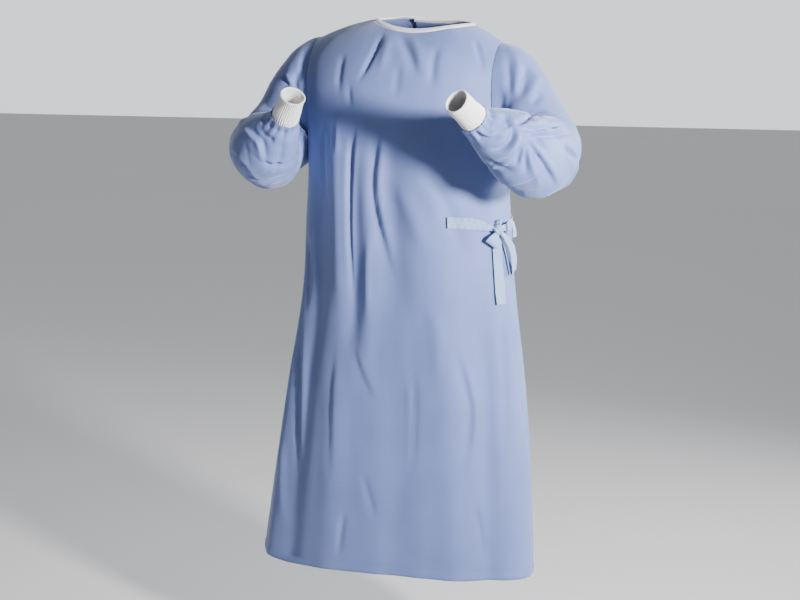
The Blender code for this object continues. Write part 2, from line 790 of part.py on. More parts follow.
def tie_knot(panels, material):
    mesh = bmesh.new()
    bmesh.ops.create_uvsphere(mesh, u_segments=KNOT_COLUMNS, v_segments=KNOT_ROWS, radius=1.0)
    centre, facing = knot_frame(panels)
    for vertex in mesh.verts:
        sized = Vector([a * b for a, b in zip(vertex.co, KNOT_SIZE)])
        vertex.co = centre + facing @ sized
    data = bpy.data.meshes.new("tie_knot")
    mesh.to_mesh(data)
    mesh.free()
    make_object("tie_knot", data, material)


def build():
    for old in list(bpy.data.objects):
        bpy.data.objects.remove(old, do_unlink=True)
    cloth = make_material("nonwoven")
    knit = make_material("white_knit")
    panels = face_tree(
        front_panel(cloth),
        back_panel("back_panel_left", "under", LEFT_SEAM_BACK, 360.0, cloth),
        back_panel("back_panel_right", "outer", RIGHT_SEAM_BACK, 180.0, cloth))
    for arm_name, values in ARMS.items():
        arm = ArmPath(**values)
        sleeve(arm_name, arm, cloth)
        cuff(arm_name, arm, knit)
    neck_binding(make_material("white_binding"))
    tie_cloth = make_material("tie_cloth")
    for name, values in TIE_STRIPS.items():
        strip(name, panels, tie_cloth, **values)
    tie_knot(panels, tie_cloth)


build()
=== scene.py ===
"""Dresses the surgical gown: thin cloth shells with creases, knit cuffs, a bound neck and a bow."""

import json
import math

import bpy
import numpy as np
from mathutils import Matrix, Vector, noise
from mathutils.bvhtree import BVHTree

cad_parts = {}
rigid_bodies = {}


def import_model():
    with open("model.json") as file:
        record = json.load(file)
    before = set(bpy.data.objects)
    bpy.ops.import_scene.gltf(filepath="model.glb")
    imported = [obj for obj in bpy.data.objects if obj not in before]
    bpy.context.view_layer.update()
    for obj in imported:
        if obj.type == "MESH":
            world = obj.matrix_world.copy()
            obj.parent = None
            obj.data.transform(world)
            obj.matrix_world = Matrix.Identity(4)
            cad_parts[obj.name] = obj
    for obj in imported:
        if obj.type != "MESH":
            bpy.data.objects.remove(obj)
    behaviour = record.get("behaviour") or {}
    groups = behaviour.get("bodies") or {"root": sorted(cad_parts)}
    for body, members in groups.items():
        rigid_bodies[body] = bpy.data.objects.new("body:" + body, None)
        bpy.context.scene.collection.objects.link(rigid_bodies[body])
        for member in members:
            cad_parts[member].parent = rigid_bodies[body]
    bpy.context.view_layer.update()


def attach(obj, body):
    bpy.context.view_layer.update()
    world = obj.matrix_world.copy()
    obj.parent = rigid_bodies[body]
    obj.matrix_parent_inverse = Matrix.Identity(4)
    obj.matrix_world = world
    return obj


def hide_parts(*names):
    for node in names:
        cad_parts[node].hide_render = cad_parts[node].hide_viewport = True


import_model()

bl_info = {
    "name": "Surgical Gown",
    "version": (1, 0, 0),
    "blender": (4, 5, 0),
    "location": "View3D > Sidebar > Gown",
    "description": "Builds the looks of a worn, hollow surgical gown",
    "category": "Object",
}

# The garment's form, as in the part's source
CHEST_HEIGHT = -0.150
UNDERARM_HEIGHT = -0.300
HEM_HEIGHT = -1.217
ARMHOLE_FRONT = 0.070
ARMHOLE_BACK = 0.074
RIDGE_Y = 0.020
RIDGE_HALF_WIDTH = 0.207
FRONT_ROLL = 2.0
BACK_ROLL = 3.0
NECK_CENTRE_X = 0.034
NECK_HALF_WIDTH = 0.102
NECK_FRONT_DEPTH = 0.082
NECK_BACK_DEPTH = 0.046
BINDING_WIDTH = 0.012
LAP_LIFT = 0.0050
HEM_FOLD = 0.018
HEM_RAISE = 0.0010
HEM_EDGE = 0.004
STITCH_DIP = 0.0012
STITCH_WIDTH = 0.003
BINDING_HALF_WALL = 0.0013
GATHER_HEIGHT = 0.0022
GATHER_FADE = 0.048
ELBOW_SHARE = 0.56
ELBOW_SPREAD = 0.22
LOOK_FROM = 0.05
BODY_RIPPLES = (15, 15, 3.2)
BODY_RIPPLE_SEED = 3.7
SLEEVE_RIPPLES = (26, 26, 26)
KNIT_WALL = 0.0021
RIB_START = 0.06
LAYER_REACH = 0.008
SHOULDER_CELLS = 26
NECK_BACK_CELLS = 46
CREASE_TAPER = 0.35
TIE_WALL = 0.0012
TIE_EDGE = 0.0004
GRIP_DEPTH = 0.10
FLOOR_HEIGHT = -1.48
FLOOR_SIZE = 40
SEAM_GAP = 0.0003
SLEEVE_GAP = 0.0002
SOLID_WALL = 0.0015
ELBOW_BEND = 0.094
WRIST_BEND = 0.060
SLEEVE_STRAIGHT = 0.006
SLEEVE_BLEND = 0.105
SLEEVE_END = 0.006
ARMPIT_REACH = 0.160
ARMPIT_CLEARANCE = 0.0045
CUFF_LENGTH = 0.070
SLEEVE_OVERLAP = 0.009
CUFF_BASE_RADIUS = 0.0262
CUFF_MOUTH_RADIUS = 0.0226
LEFT_SEAM_BACK = 1.000001
RIGHT_SEAM_BACK = 2.999999
KNOT_SIZE = (0.010, 0.013, 0.0115)
KNOT_PLACE = (67.0, -0.446, 0.0145)

# The camera stands where the photograph was taken from
CAMERA_AZIMUTH = 20.0
CAMERA_ELEVATION = 10.0
CAMERA_DISTANCE = 3.42
CAMERA_TARGET = Vector((-0.0168, -0.0061, -0.623))
FOCAL_PIXELS = 1533.0
FRAME_WIDTH = 800
FRAME_HEIGHT = 600
SENSOR_WIDTH = 36.0


class Table:
    """Rows of sizes with named columns, read smoothly along the first one."""

    def __init__(self, names, *rows):
        self.names = names
        self.columns = dict(zip(names, np.array(rows, float).T))
        self.rows = [dict(zip(names, row)) for row in rows]

    def read(self, name, at):
        keys, values = self.columns[self.names[0]], self.columns[name]
        slopes = np.gradient(values, keys)
        at = np.clip(at, keys[0], keys[-1])
        i = np.clip(np.searchsorted(keys, at) - 1, 0, len(keys) - 2)
        span = keys[i + 1] - keys[i]
        t = (at - keys[i]) / span
        start = (1 + 2 * t) * (1 - t) ** 2 * values[i] + t * (1 - t) ** 2 * span * slopes[i]
        end = t * t * (3 - 2 * t) * values[i + 1] - t * t * (1 - t) * span * slopes[i + 1]
        return start + end


BODY = Table(
    ("height", "half_width", "front", "back", "shift", "round"),
    (-1.217, 0.322, 0.142, 0.160, -0.028, 2.15),
    (-1.000, 0.300, 0.138, 0.150, -0.015, 2.20),
    (-0.800, 0.275, 0.135, 0.138, -0.004, 2.20),
    (-0.620, 0.246, 0.131, 0.122, 0.002, 2.25),
    (-0.480, 0.234, 0.130, 0.114, 0.000, 2.30),
    (-0.300, 0.224, 0.135, 0.115, 0.000, 2.35),
    (-0.150, 0.236, 0.128, 0.112, 0.000, 2.30),
)
RIDGE = Table(
    ("x", "height"),
    (-0.210, -0.047),
    (-0.150, -0.023),
    (-0.075, -0.007),
    (0.030, -0.002),
    (0.120, -0.011),
    (0.170, -0.032),
    (0.210, -0.060),
)
HEM = Table(
    ("turn", "drop"),
    (-180.0, 0.000),
    (-90.0, 0.000),
    (-50.0, 0.013),
    (-15.0, 0.004),
    (20.0, 0.000),
    (55.0, 0.003),
    (82.0, 0.009),
    (110.0, 0.003),
    (180.0, 0.000),
)
FOLDS = Table(
    ("turn_top", "turn_end", "top", "end", "width", "depth"),
    (-29.0, -25.0, -0.15, -0.66, 0.026, 0.0070),
    (-18.0, -16.0, -0.20, -0.75, 0.024, -0.0080),
    (-9.0, -10.0, -0.26, -0.80, 0.022, 0.0050),
    (-1.0, 3.0, -0.18, -0.66, 0.026, -0.0075),
    (18.0, 24.0, -0.16, -0.80, 0.060, 0.0080),
    (-46.0, -42.0, -0.22, -1.22, 0.034, -0.0080),
    (-66.0, -60.0, -0.50, -1.24, 0.036, 0.0070),
    (-22.0, -20.0, -0.72, -1.24, 0.034, 0.0050),
    (4.0, 7.0, -0.72, -1.24, 0.036, -0.0055),
    (28.0, 32.0, -0.60, -1.24, 0.040, 0.0060),
    (50.0, 50.0, -0.55, -1.24, 0.036, -0.0070),
    (112.0, 112.0, -0.40, -1.24, 0.046, -0.0070),
    (148.0, 144.0, -0.20, -1.24, 0.052, 0.0065),
    (184.0, 184.0, -0.20, -1.24, 0.056, -0.0070),
    (218.0, 214.0, -0.20, -1.24, 0.052, 0.0065),
    (246.0, 244.0, -0.40, -1.24, 0.046, -0.0070),
)
FREE_EDGES = Table(
    ("level", "outer", "under"),
    (0.00, 0.00, 0.00),
    (0.30, 0.00, 0.00),
    (0.45, 0.00, 0.00),
    (1.00, -0.14, 0.05),
    (2.00, -0.40, 0.10),
    (2.20, -0.52, 0.12),
    (3.00, -0.56, 0.12),
)
NECK_STARTS = {"outer": 282.0, "under": 246.0}
NECK_FIRST_STEP = 10.0
ARMS = {
    "left": {"side": 1, "crumple": 0.0040, "corners": ((0.390, -0.088, -0.335), (0.244, -0.268, -0.212),
                                                       (0.217, -0.331, -0.165))},
    "right": {"side": -1, "crumple": 0.0024, "corners": ((-0.414, -0.052, -0.400), (-0.212, -0.202, -0.232),
                                                          (-0.165, -0.246, -0.164))},
}
GIRTH = Table(
    ("share", "half_height", "half_depth"),
    (0.00, 0.100, 0.080),
    (0.20, 0.088, 0.078),
    (0.42, 0.080, 0.076),
    (0.62, 0.078, 0.074),
    (0.78, 0.068, 0.066),
    (0.90, 0.050, 0.049),
    (1.00, 0.0305, 0.0305),
)
SLEEVE_FOLDS = Table(
    ("share", "angle", "reach", "spread", "depth"),
    (0.16, 60.0, 0.035, 50.0, -0.0060),
    (0.30, 100.0, 0.030, 45.0, 0.0050),
    (0.44, 20.0, 0.022, 60.0, -0.0060),
    (0.53, 90.0, 0.020, 40.0, -0.0060),
    (0.60, 180.0, 0.030, 60.0, 0.0070),
    (0.68, 60.0, 0.022, 70.0, -0.0060),
    (0.50, 260.0, 0.030, 60.0, -0.0050),
    (0.28, 250.0, 0.030, 60.0, 0.0050),
    (0.80, 200.0, 0.022, 70.0, -0.0050),
)


def smooth_step(t):
    t = np.clip(t, 0.0, 1.0)
    return t * t * (3 - 2 * t)


def mix(a, b, share):
    return a + (b - a) * share


def unit(vectors):
    return vectors / (np.linalg.norm(vectors, axis=-1, keepdims=True) + 1e-12)


# The body's form by quarter (0 front, 1 wearer's left, 2 back, 3 or -1 right) and level
# (0 shoulder ridge, 1 chest, 2 underarm, 3 hem)


def section_point(turn, height):
    turn, height = np.broadcast_arrays(np.asarray(turn, float), np.asarray(height, float))
    exponent = 2 / BODY.read("round", height)
    across, along = np.sin(np.radians(turn)), np.cos(np.radians(turn))
    across = np.sign(across) * np.abs(across) ** exponent
    depth = np.where(along >= 0, -BODY.read("front", height), BODY.read("back", height))
    x = BODY.read("shift", height) + BODY.read("half_width", height) * across
    return np.stack([x, depth * np.abs(along) ** exponent, height], -1)


def level_height(level):
    upper = mix(CHEST_HEIGHT, UNDERARM_HEIGHT, np.sin(np.radians(90 * (np.clip(level, 1, 2) - 1))))
    return np.where(level < 2, upper, mix(UNDERARM_HEIGHT, HEM_HEIGHT, level - 2))


def armhole_turn(level, is_front):
    height = level_height(np.maximum(level, 1.0))
    depth = np.where(is_front, BODY.read("front", height), BODY.read("back", height))
    edge = np.where(is_front, ARMHOLE_FRONT, ARMHOLE_BACK)
    drop = np.cos(np.radians(90 * (np.clip(level, 1, 2) - 1)))
    share = (edge * drop / depth) ** (BODY.read("round", height) / 2)
    return np.where(level >= 2, 90.0, np.degrees(np.arccos(np.clip(share, 0, 1))))


def turn_of(quarter, level):
    is_front = np.abs(quarter) <= 1
    away = quarter - np.where(is_front, 0.0, 2.0)
    chest_reach = armhole_turn(np.ones_like(away), is_front)
    reach = armhole_turn(level + np.zeros_like(away), is_front)
    turned = away * (chest_reach + (reach - chest_reach) * np.abs(away))
    return np.where(is_front, 0.0, 180.0) + turned


def ridge_point(quarter):
    quarter = np.asarray(quarter, float)
    edge_quarter = np.where(np.abs(quarter) <= 1, 1.0, LEFT_SEAM_BACK)
    edge = section_point(turn_of(edge_quarter, 1.0), CHEST_HEIGHT)[..., 0]
    x = RIDGE_HALF_WIDTH * section_point(turn_of(quarter, 1.0), CHEST_HEIGHT)[..., 0] / edge
    return np.stack([x, np.full_like(x, RIDGE_Y), RIDGE.read("height", x)], -1)


def smooth_body(quarter, level):
    quarter, level = np.broadcast_arrays(np.asarray(quarter, float), np.asarray(level, float))
    turn = turn_of(quarter, level)
    lower = section_point(turn, level_height(level))
    drop = HEM.read("drop", (turn + 180) % 360 - 180)
    lower[..., 2] -= drop * np.maximum(level - 2, 0.0) ** 2
    top = ridge_point(quarter)
    chest = section_point(turn_of(quarter, 1.0), CHEST_HEIGHT)
    out = np.sin(np.radians(90 * np.clip(level, 0, 1)))
    upper = top + (chest - top) * out[..., None]
    roll = np.where(np.abs(quarter) <= 1, FRONT_ROLL, BACK_ROLL)
    upper[..., 2] = mix(top[..., 2], chest[..., 2], 1 - (1 - out ** roll) ** (1 / roll))
    return np.where((level >= 1)[..., None], lower, upper)


def fold_depth(turn, height):
    total = np.zeros(np.broadcast(turn, height).shape)
    for fold in FOLDS.rows:
        run = (fold["top"] - height) / (fold["top"] - fold["end"])
        centre = mix(fold["turn_top"], fold["turn_end"], run)
        away = (turn - centre + 180) % 360 - 180
        arc = np.radians(away) * BODY.read("half_width", height)
        fade = smooth_step(run / 0.25)
        if fold["end"] > HEM_HEIGHT:
            fade = fade * smooth_step((1 - run) / 0.22)
        push = fold["depth"] * fade * np.exp(-((arc / fold["width"]) ** 2))
        total = total + np.where((run > 0) & (run < 1), push, 0.0)
    return total


def body_normal(quarter, level):
    quarter, level = np.broadcast_arrays(np.asarray(quarter, float), np.asarray(level, float))
    step = 0.004
    is_front = np.abs(quarter) <= 1
    low, high = quarter - step, quarter + step
    stop = level < 2
    low = np.where(stop, np.where(is_front, np.maximum(low, -1.0), np.maximum(low, LEFT_SEAM_BACK)), low)
    high = np.where(stop, np.where(is_front, np.minimum(high, 1.0), np.minimum(high, RIGHT_SEAM_BACK)), high)
    around = smooth_body(high, level) - smooth_body(low, level)
    below, above = np.minimum(level + 0.01, 3.0), np.maximum(level - 0.01, 0.0)
    down = smooth_body(quarter, below) - smooth_body(quarter, above)
    return unit(np.cross(down, around))


def body_point(quarter, level, lift=0.0):
    point = smooth_body(quarter, level)
    push = fold_depth(turn_of(np.asarray(quarter, float), level), point[..., 2]) + lift
    return point + body_normal(quarter, level) * push[..., None]


def neck_place(angle, grow, is_back=False):
    """The quarters and levels of points of the neck's oval."""
    sweep = np.radians(np.asarray(angle, float))
    x = NECK_CENTRE_X + (NECK_HALF_WIDTH + grow) * np.cos(sweep)
    y = RIDGE_Y - ((NECK_BACK_DEPTH if is_back else NECK_FRONT_DEPTH) + grow) * np.sin(sweep)
    quarters = np.linspace(RIGHT_SEAM_BACK, LEFT_SEAM_BACK, 800) if is_back else np.linspace(-1, 1, 800)
    across = ridge_point(quarters)[:, 0]
    ridge_x = x
    for _ in range(8):
        quarter = np.interp(ridge_x, across, quarters)
        chest = section_point(turn_of(quarter, 1.0), CHEST_HEIGHT)
        out = (y - RIDGE_Y) / (chest[..., 1] - RIDGE_Y)
        ridge_x = x - (chest[..., 0] - ridge_x) * out
    return quarter, np.degrees(np.arcsin(np.clip(out, 0.0, 1.0))) / 90


def row_levels(start, size):
    """Levels from a column's start down to the hem, for each column."""
    top = start[:, None] + (1 - start[:, None]) * np.linspace(0, 1, size.top_rows, endpoint=False)
    rest = np.concatenate([np.linspace(1, 2, size.chest_rows, endpoint=False),
                           np.linspace(2, 3, size.skirt_rows + 1)])
    return np.concatenate([top, np.broadcast_to(rest, (len(start), len(rest)))], 1)


# Creases. Those that the photograph shows are placed along its pixels, on the form behind them.


def camera_axes():
    azimuth, elevation = math.radians(CAMERA_AZIMUTH), math.radians(CAMERA_ELEVATION)
    back = Vector((math.sin(azimuth) * math.cos(elevation), -math.cos(azimuth) * math.cos(elevation),
                   math.sin(elevation)))
    right = Vector((math.cos(azimuth), math.sin(azimuth), 0.0))
    return right, back.cross(right), back


def pixel_ray(x, y):
    right, up, back = camera_axes()
    way = right * (x - FRAME_WIDTH / 2) + up * (FRAME_HEIGHT / 2 - y) - back * FOCAL_PIXELS
    return CAMERA_TARGET + back * CAMERA_DISTANCE, way.normalized()


def on_form(tree, points):
    """Where the lines of sight of these pixels meet the form. Ones that miss it are left out."""
    hits = [tree.ray_cast(*pixel_ray(*point))[0] for point in points]
    return [hit for hit in hits if hit is not None]


def follow(points, cells=6):
    """A smooth line through the points."""
    points = np.array(points, float)
    if len(points) < 3:
        return points
    steps = np.linspace(0, len(points) - 1, (len(points) - 1) * cells + 1)
    padded = np.vstack([2 * points[0] - points[1], points, 2 * points[-1] - points[-2]])
    out = []
    for s in steps:
        i = min(int(s), len(points) - 2)
        t = s - i
        a, b, c, d = padded[i:i + 4]
        out.append(0.5 * (2 * b + (c - a) * t + (2 * a - 5 * b + 4 * c - d) * t * t
                          + (3 * b - a - 3 * c + d) * t ** 3))
    return np.array(out)


def crease_depth(points, normals, line, width, depth, kind):
    """How far one crease moves each point: a soft trough, a sharp line, or a lip that laps over."""
    best = np.full(len(points), 1e9)
    along = np.zeros(len(points))
    side = np.zeros(len(points))
    count = len(line) - 1
    for i in range(count):
        a, b = line[i], line[i + 1]
        way = b - a
        t = np.clip(((points - a) @ way) / (way @ way + 1e-12), 0, 1)
        off = points - (a + t[:, None] * way)
        # A layer that lies over the line is measured along its own surface
        above = np.clip(np.einsum("ij,ij->i", off, normals), -LAYER_REACH, LAYER_REACH)
        off = off - normals * above[:, None]
        distance = np.linalg.norm(off, axis=1)
        near = distance < best
        best = np.where(near, distance, best)
        along = np.where(near, (i + t) / count, along)
        side = np.where(near, np.sign(np.einsum("ij,ij->i", np.cross(way, normals), off)), side)
    taper = smooth_step(along / CREASE_TAPER) * smooth_step((1 - along) / CREASE_TAPER)
    if kind == "soft":
        shape = np.exp(-((best / width) ** 2))
    elif kind == "sharp":
        shape = np.exp(-best / width) - 0.35 * np.exp(-((best / (2.5 * width)) ** 2))
    else:
        signed = best * side / width
        shape = np.tanh(signed * 2.2) * np.exp(-(signed / 1.8) ** 2)
    beyond = best > 6 * width
    return np.where(beyond, 0.0, depth * taper * shape)


# Pixels along each crease, with its width and depth in metres. A negative depth goes inwards.
FRONT_CREASES = (
    (((385, 28), (377, 46), (367, 66), (357, 84)), 0.0055, -0.0050, "soft"),
    (((392, 32), (386, 50), (380, 74)), 0.0090, 0.0030, "soft"),
    (((398, 31), (404, 44), (411, 60), (418, 80)), 0.0090, -0.0048, "soft"),
    (((410, 34), (418, 50), (424, 72)), 0.0080, 0.0026, "soft"),
    (((437, 44), (433, 64), (432, 92)), 0.0090, -0.0038, "soft"),
    (((474, 38), (480, 54), (484, 76)), 0.0060, -0.0040, "soft"),
    (((344, 52), (340, 70), (338, 96)), 0.0080, -0.0030, "soft"),
    (((398, 62), (397, 80), (394, 100)), 0.0080, -0.0024, "soft"),
    (((350, 84), (349, 96), (352, 108)), 0.0060, -0.0026, "soft"),
    (((324, 118), (323, 160), (325, 205)), 0.0080, -0.0038, "soft"),
    (((334, 120), (335, 138), (334, 155)), 0.0045, -0.0024, "lap"),
    (((349, 122), (346, 170), (347, 240), (350, 330)), 0.0080, 0.0042, "soft"),
    (((358, 118), (354, 165), (352, 230), (354, 300)), 0.0065, -0.0045, "lap"),
    (((369, 225), (367, 275), (368, 330)), 0.0080, 0.0030, "soft"),
    (((381, 128), (379, 150), (376, 190), (383, 230), (397, 285)), 0.0095, -0.0060, "lap"),
    (((392, 175), (412, 215), (428, 262)), 0.0200, 0.0040, "soft"),
    (((420, 165), (446, 205), (466, 262)), 0.0160, -0.0030, "soft"),
    (((308, 230), (309, 270), (304, 318)), 0.0100, -0.0040, "soft"),
    (((336, 340), (332, 410), (331, 490)), 0.0090, -0.0020, "lap"),
    (((355, 345), (363, 372), (378, 404)), 0.0095, -0.0017, "lap"),
    (((362, 470), (368, 495), (377, 522)), 0.0070, -0.0026, "soft"),
    (((406, 360), (409, 420), (407, 480)), 0.0040, 0.0028, "sharp"),
    (((413, 362), (415, 420), (411, 478)), 0.0060, -0.0022, "soft"),
    (((454, 340), (468, 385), (473, 422), (464, 482)), 0.0090, -0.0030, "lap"),
    (((473, 498), (479, 526), (484, 560)), 0.0080, -0.0028, "soft"),
    (((344, 510), (341, 532), (338, 560)), 0.0070, -0.0030, "soft"),
    (((303, 318), (301, 400), (299, 480), (304, 566)), 0.0085, -0.0050, "lap"),
    (((288, 340), (283, 430), (282, 530)), 0.0120, 0.0040, "soft"),
    (((430, 300), (438, 340), (436, 400)), 0.0160, 0.0026, "soft"),
    (((500, 300), (505, 380), (506, 470)), 0.0130, -0.0034, "soft"),
    (((497, 66), (500, 90), (503, 112)), 0.0060, -0.0036, "lap"),
)
LEFT_SLEEVE_CREASES = (
    (((509, 100), (509, 74), (507, 50), (502, 30)), 0.0090, -0.0040, "soft"),
    (((514, 100), (517, 76), (516, 54)), 0.0080, 0.0030, "soft"),
    (((518, 102), (525, 80), (527, 60)), 0.0085, -0.0038, "soft"),
    (((525, 102), (534, 86), (540, 70)), 0.0085, 0.0028, "soft"),
    (((531, 105), (542, 94), (551, 82)), 0.0080, -0.0034, "soft"),
    (((503, 112), (507, 122), (510, 128)), 0.0080, -0.0080, "soft"),
    (((514, 124), (526, 119), (542, 110)), 0.0050, -0.0070, "soft"),
    (((516, 127), (534, 123), (552, 120)), 0.0045, 0.0036, "soft"),
    (((519, 130), (545, 127), (571, 124)), 0.0045, -0.0078, "soft"),
    (((524, 133), (548, 131), (570, 128)), 0.0040, 0.0040, "soft"),
    (((526, 136), (550, 135), (572, 134)), 0.0045, -0.0078, "soft"),
    (((526, 137), (538, 141), (549, 151)), 0.0050, -0.0056, "soft"),
    (((526, 138), (543, 160), (557, 187)), 0.0065, -0.0056, "lap"),
    (((522, 140), (533, 166), (541, 192)), 0.0080, 0.0040, "soft"),
    (((521, 142), (515, 168), (510, 191)), 0.0065, -0.0056, "soft"),
    (((526, 141), (526, 157), (525, 176)), 0.0060, -0.0042, "soft"),
    (((508, 122), (513, 134), (503, 148), (486, 149)), 0.0055, -0.0070, "soft"),
    (((513, 128), (518, 138), (510, 152), (494, 158)), 0.0060, 0.0050, "soft"),
    (((563, 143), (571, 151), (577, 161)), 0.0055, -0.0052, "lap"),
    (((474, 131), (489, 137), (500, 132)), 0.0050, -0.0036, "lap"),
    (((480, 152), (496, 166), (520, 172)), 0.0080, -0.0044, "soft"),
)
RIGHT_SLEEVE_CREASES = (
    (((280, 60), (285, 73), (291, 86)), 0.0055, -0.0046, "lap"),
    (((243, 127), (253, 135), (261, 145), (267, 171)), 0.0070, 0.0062, "lap"),
    (((252, 112), (257, 124), (268, 138), (276, 140)), 0.0070, -0.0046, "soft"),
    (((283, 140), (281, 156), (273, 178)), 0.0080, -0.0040, "soft"),
    (((297, 132), (300, 150), (293, 172)), 0.0090, -0.0052, "soft"),
    (((308, 46), (302, 66), (297, 88)), 0.0090, -0.0048, "soft"),
    (((262, 92), (254, 112), (240, 128)), 0.0110, 0.0036, "soft"),
    (((232, 148), (246, 166), (262, 184)), 0.0080, -0.0044, "lap"),
    (((297, 68), (295, 82), (298, 96)), 0.0070, -0.0040, "soft"),
)

# Creases away from the photograph's view: start, middle and end in metres
BACK_CREASES = (
    (((0.16, 0.12, -0.12), (0.10, 0.14, -0.22), (0.03, 0.14, -0.30)), 0.0090, -0.0040, "soft"),
    (((-0.18, 0.12, -0.14), (-0.15, 0.14, -0.24), (-0.11, 0.14, -0.33)), 0.0100, -0.0030, "soft"),
    (((-0.11, 0.12, -0.42), (-0.10, 0.13, -0.60), (-0.13, 0.15, -0.82)), 0.0100, 0.0030, "soft"),
    (((0.02, 0.12, -0.50), (0.04, 0.14, -0.70), (0.03, 0.15, -0.95)), 0.0090, -0.0042, "soft"),
    (((-0.17, 0.10, -0.46), (-0.18, 0.12, -0.66), (-0.20, 0.13, -0.90)), 0.0080, -0.0040, "lap"),
    (((0.15, 0.10, -0.48), (0.16, 0.12, -0.62), (0.20, 0.13, -0.84)), 0.0080, 0.0036, "lap"),
    (((-0.13, 0.15, -0.92), (-0.12, 0.16, -1.05), (-0.14, 0.17, -1.18)), 0.0100, -0.0028, "soft"),
    (((0.10, 0.14, -0.90), (0.11, 0.15, -1.04), (0.10, 0.16, -1.17)), 0.0085, -0.0034, "soft"),
    (((0.00, 0.12, -0.16), (-0.01, 0.14, -0.26), (0.01, 0.14, -0.38)), 0.0100, 0.0034, "soft"),
    (((0.22, 0.06, -0.36), (0.20, 0.08, -0.44), (0.17, 0.10, -0.50)), 0.0060, -0.0036, "lap"),
    (((-0.12, 0.11, -0.40), (-0.13, 0.13, -0.70), (-0.15, 0.14, -1.15)), 0.0200, -0.0060, "soft"),
    (((0.07, 0.11, -0.42), (0.08, 0.13, -0.75), (0.08, 0.15, -1.16)), 0.0180, 0.0055, "soft"),
    (((0.02, 0.12, -0.52), (0.02, 0.14, -0.80), (0.03, 0.15, -1.16)), 0.0160, -0.0030, "soft"),
    (((0.19, 0.08, -0.50), (0.21, 0.10, -0.80), (0.23, 0.11, -1.15)), 0.0200, -0.0060, "soft"),
    (((-0.21, 0.07, -0.48), (-0.24, 0.08, -0.80), (-0.28, 0.08, -1.15)), 0.0200, 0.0055, "soft"),
    (((-0.12, 0.10, -0.08), (-0.09, 0.12, -0.14), (-0.06, 0.13, -0.18)), 0.0090, -0.0024, "soft"),
    (((-0.22, 0.06, -0.34), (-0.19, 0.09, -0.42), (-0.15, 0.11, -0.47)), 0.0060, -0.0036, "lap"),
)
SLEEVE_BACK_CREASES = (
    (0.20, 250.0, 0.30, 300.0, 0.0070, -0.0042, "lap"),
    (0.34, 220.0, 0.40, 290.0, 0.0070, -0.0045, "lap"),
    (0.47, 215.0, 0.50, 300.0, 0.0065, 0.0042, "lap"),
    (0.58, 200.0, 0.56, 285.0, 0.0065, -0.0042, "lap"),
    (0.70, 180.0, 0.66, 270.0, 0.0070, -0.0040, "lap"),
    (0.82, 170.0, 0.80, 260.0, 0.0055, 0.0032, "lap"),
    (0.12, 200.0, 0.22, 215.0, 0.0080, -0.0040, "soft"),
)


# Meshes


def grid_normals(grid, closed=False):
    """Outward directions of a grid of points, columns first."""
    if closed:
        ring = grid[:-1]
        around = np.roll(ring, -1, 0) - np.roll(ring, 1, 0)
        around = np.concatenate([around, around[:1]])
    else:
        around = np.gradient(grid, axis=0)
    down = np.gradient(grid, axis=1)
    return unit(np.cross(down, around))


def select_only(made):
    bpy.ops.object.select_all(action="DESELECT")
    bpy.context.view_layer.objects.active = made
    made.select_set(True)


def grid_object(name, grid, closed=False):
    """A sheet of faces through a grid of points, with a UV map in metres of cloth."""
    columns, rows = grid.shape[:2]
    bpy.ops.mesh.primitive_grid_add(x_subdivisions=columns - 1, y_subdivisions=rows - 1, size=1)
    made = bpy.context.active_object
    made.name = made.data.name = name
    mesh = made.data
    flat = np.empty(len(mesh.vertices) * 3)
    mesh.vertices.foreach_get("co", flat)
    flat = flat.reshape(-1, 3)
    column = np.rint((flat[:, 0] + 0.5) * (columns - 1)).astype(int)
    row = np.rint((0.5 - flat[:, 1]) * (rows - 1)).astype(int)
    mesh.vertices.foreach_set("co", grid[column, row].ravel())
    steps = np.linalg.norm(np.diff(grid, axis=0), axis=2).mean(1)
    drops = np.linalg.norm(np.diff(grid, axis=1), axis=2).mean(0)
    u = np.concatenate([[0], np.cumsum(steps)])
    v = np.concatenate([[0], np.cumsum(drops)])
    corner = np.empty(len(mesh.loops), int)
    mesh.loops.foreach_get("vertex_index", corner)
    layer = mesh.uv_layers.active or mesh.uv_layers.new(name="Cloth")
    layer.data.foreach_set("uv", np.stack([u[column[corner]], v[row[corner]]], 1).ravel())
    if closed:
        weld(made)
    mesh.shade_smooth()
    return made


def weld(made):
    select_only(made)
    bpy.ops.object.mode_set(mode="EDIT")
    bpy.ops.mesh.select_all(action="SELECT")
    bpy.ops.mesh.remove_doubles(threshold=0.000001)
    bpy.ops.object.mode_set(mode="OBJECT")


def face_outwards(made):
    select_only(made)
    bpy.ops.object.mode_set(mode="EDIT")
    bpy.ops.mesh.select_all(action="SELECT")
    bpy.ops.mesh.normals_make_consistent(inside=False)
    bpy.ops.object.mode_set(mode="OBJECT")


def form_tree(grid):
    """The grid's faces, for finding where a line of sight meets them."""
    columns, rows = grid.shape[:2]
    points = [tuple(point) for point in grid.reshape(-1, 3)]
    faces = [(c * rows + r, c * rows + r + 1, (c + 1) * rows + r + 1, (c + 1) * rows + r)
             for c in range(columns - 1) for r in range(rows - 1)]
    return BVHTree.FromPolygons(points, faces)


def add_creases(grid, creases, seen=True, closed=False, form=None):
    """Moves the grid's points along each crease. form carries the lines where panels lap."""
    gain = sizes().crease_gain
    normals = grid_normals(grid, closed).reshape(-1, 3)
    points = grid.reshape(-1, 3)
    tree = form_tree(grid if form is None else form)
    push = np.zeros(len(points))
    for places, width, depth, kind in creases:
        if seen:
            line = on_form(tree, places)
        else:
            line = [tree.find_nearest(Vector(place))[0] for place in places]
        if len(line) >= 2:
            push += crease_depth(points, normals, follow(line), width, depth * gain, kind)
    moved = points + normals * push[:, None]
    return moved.reshape(grid.shape)


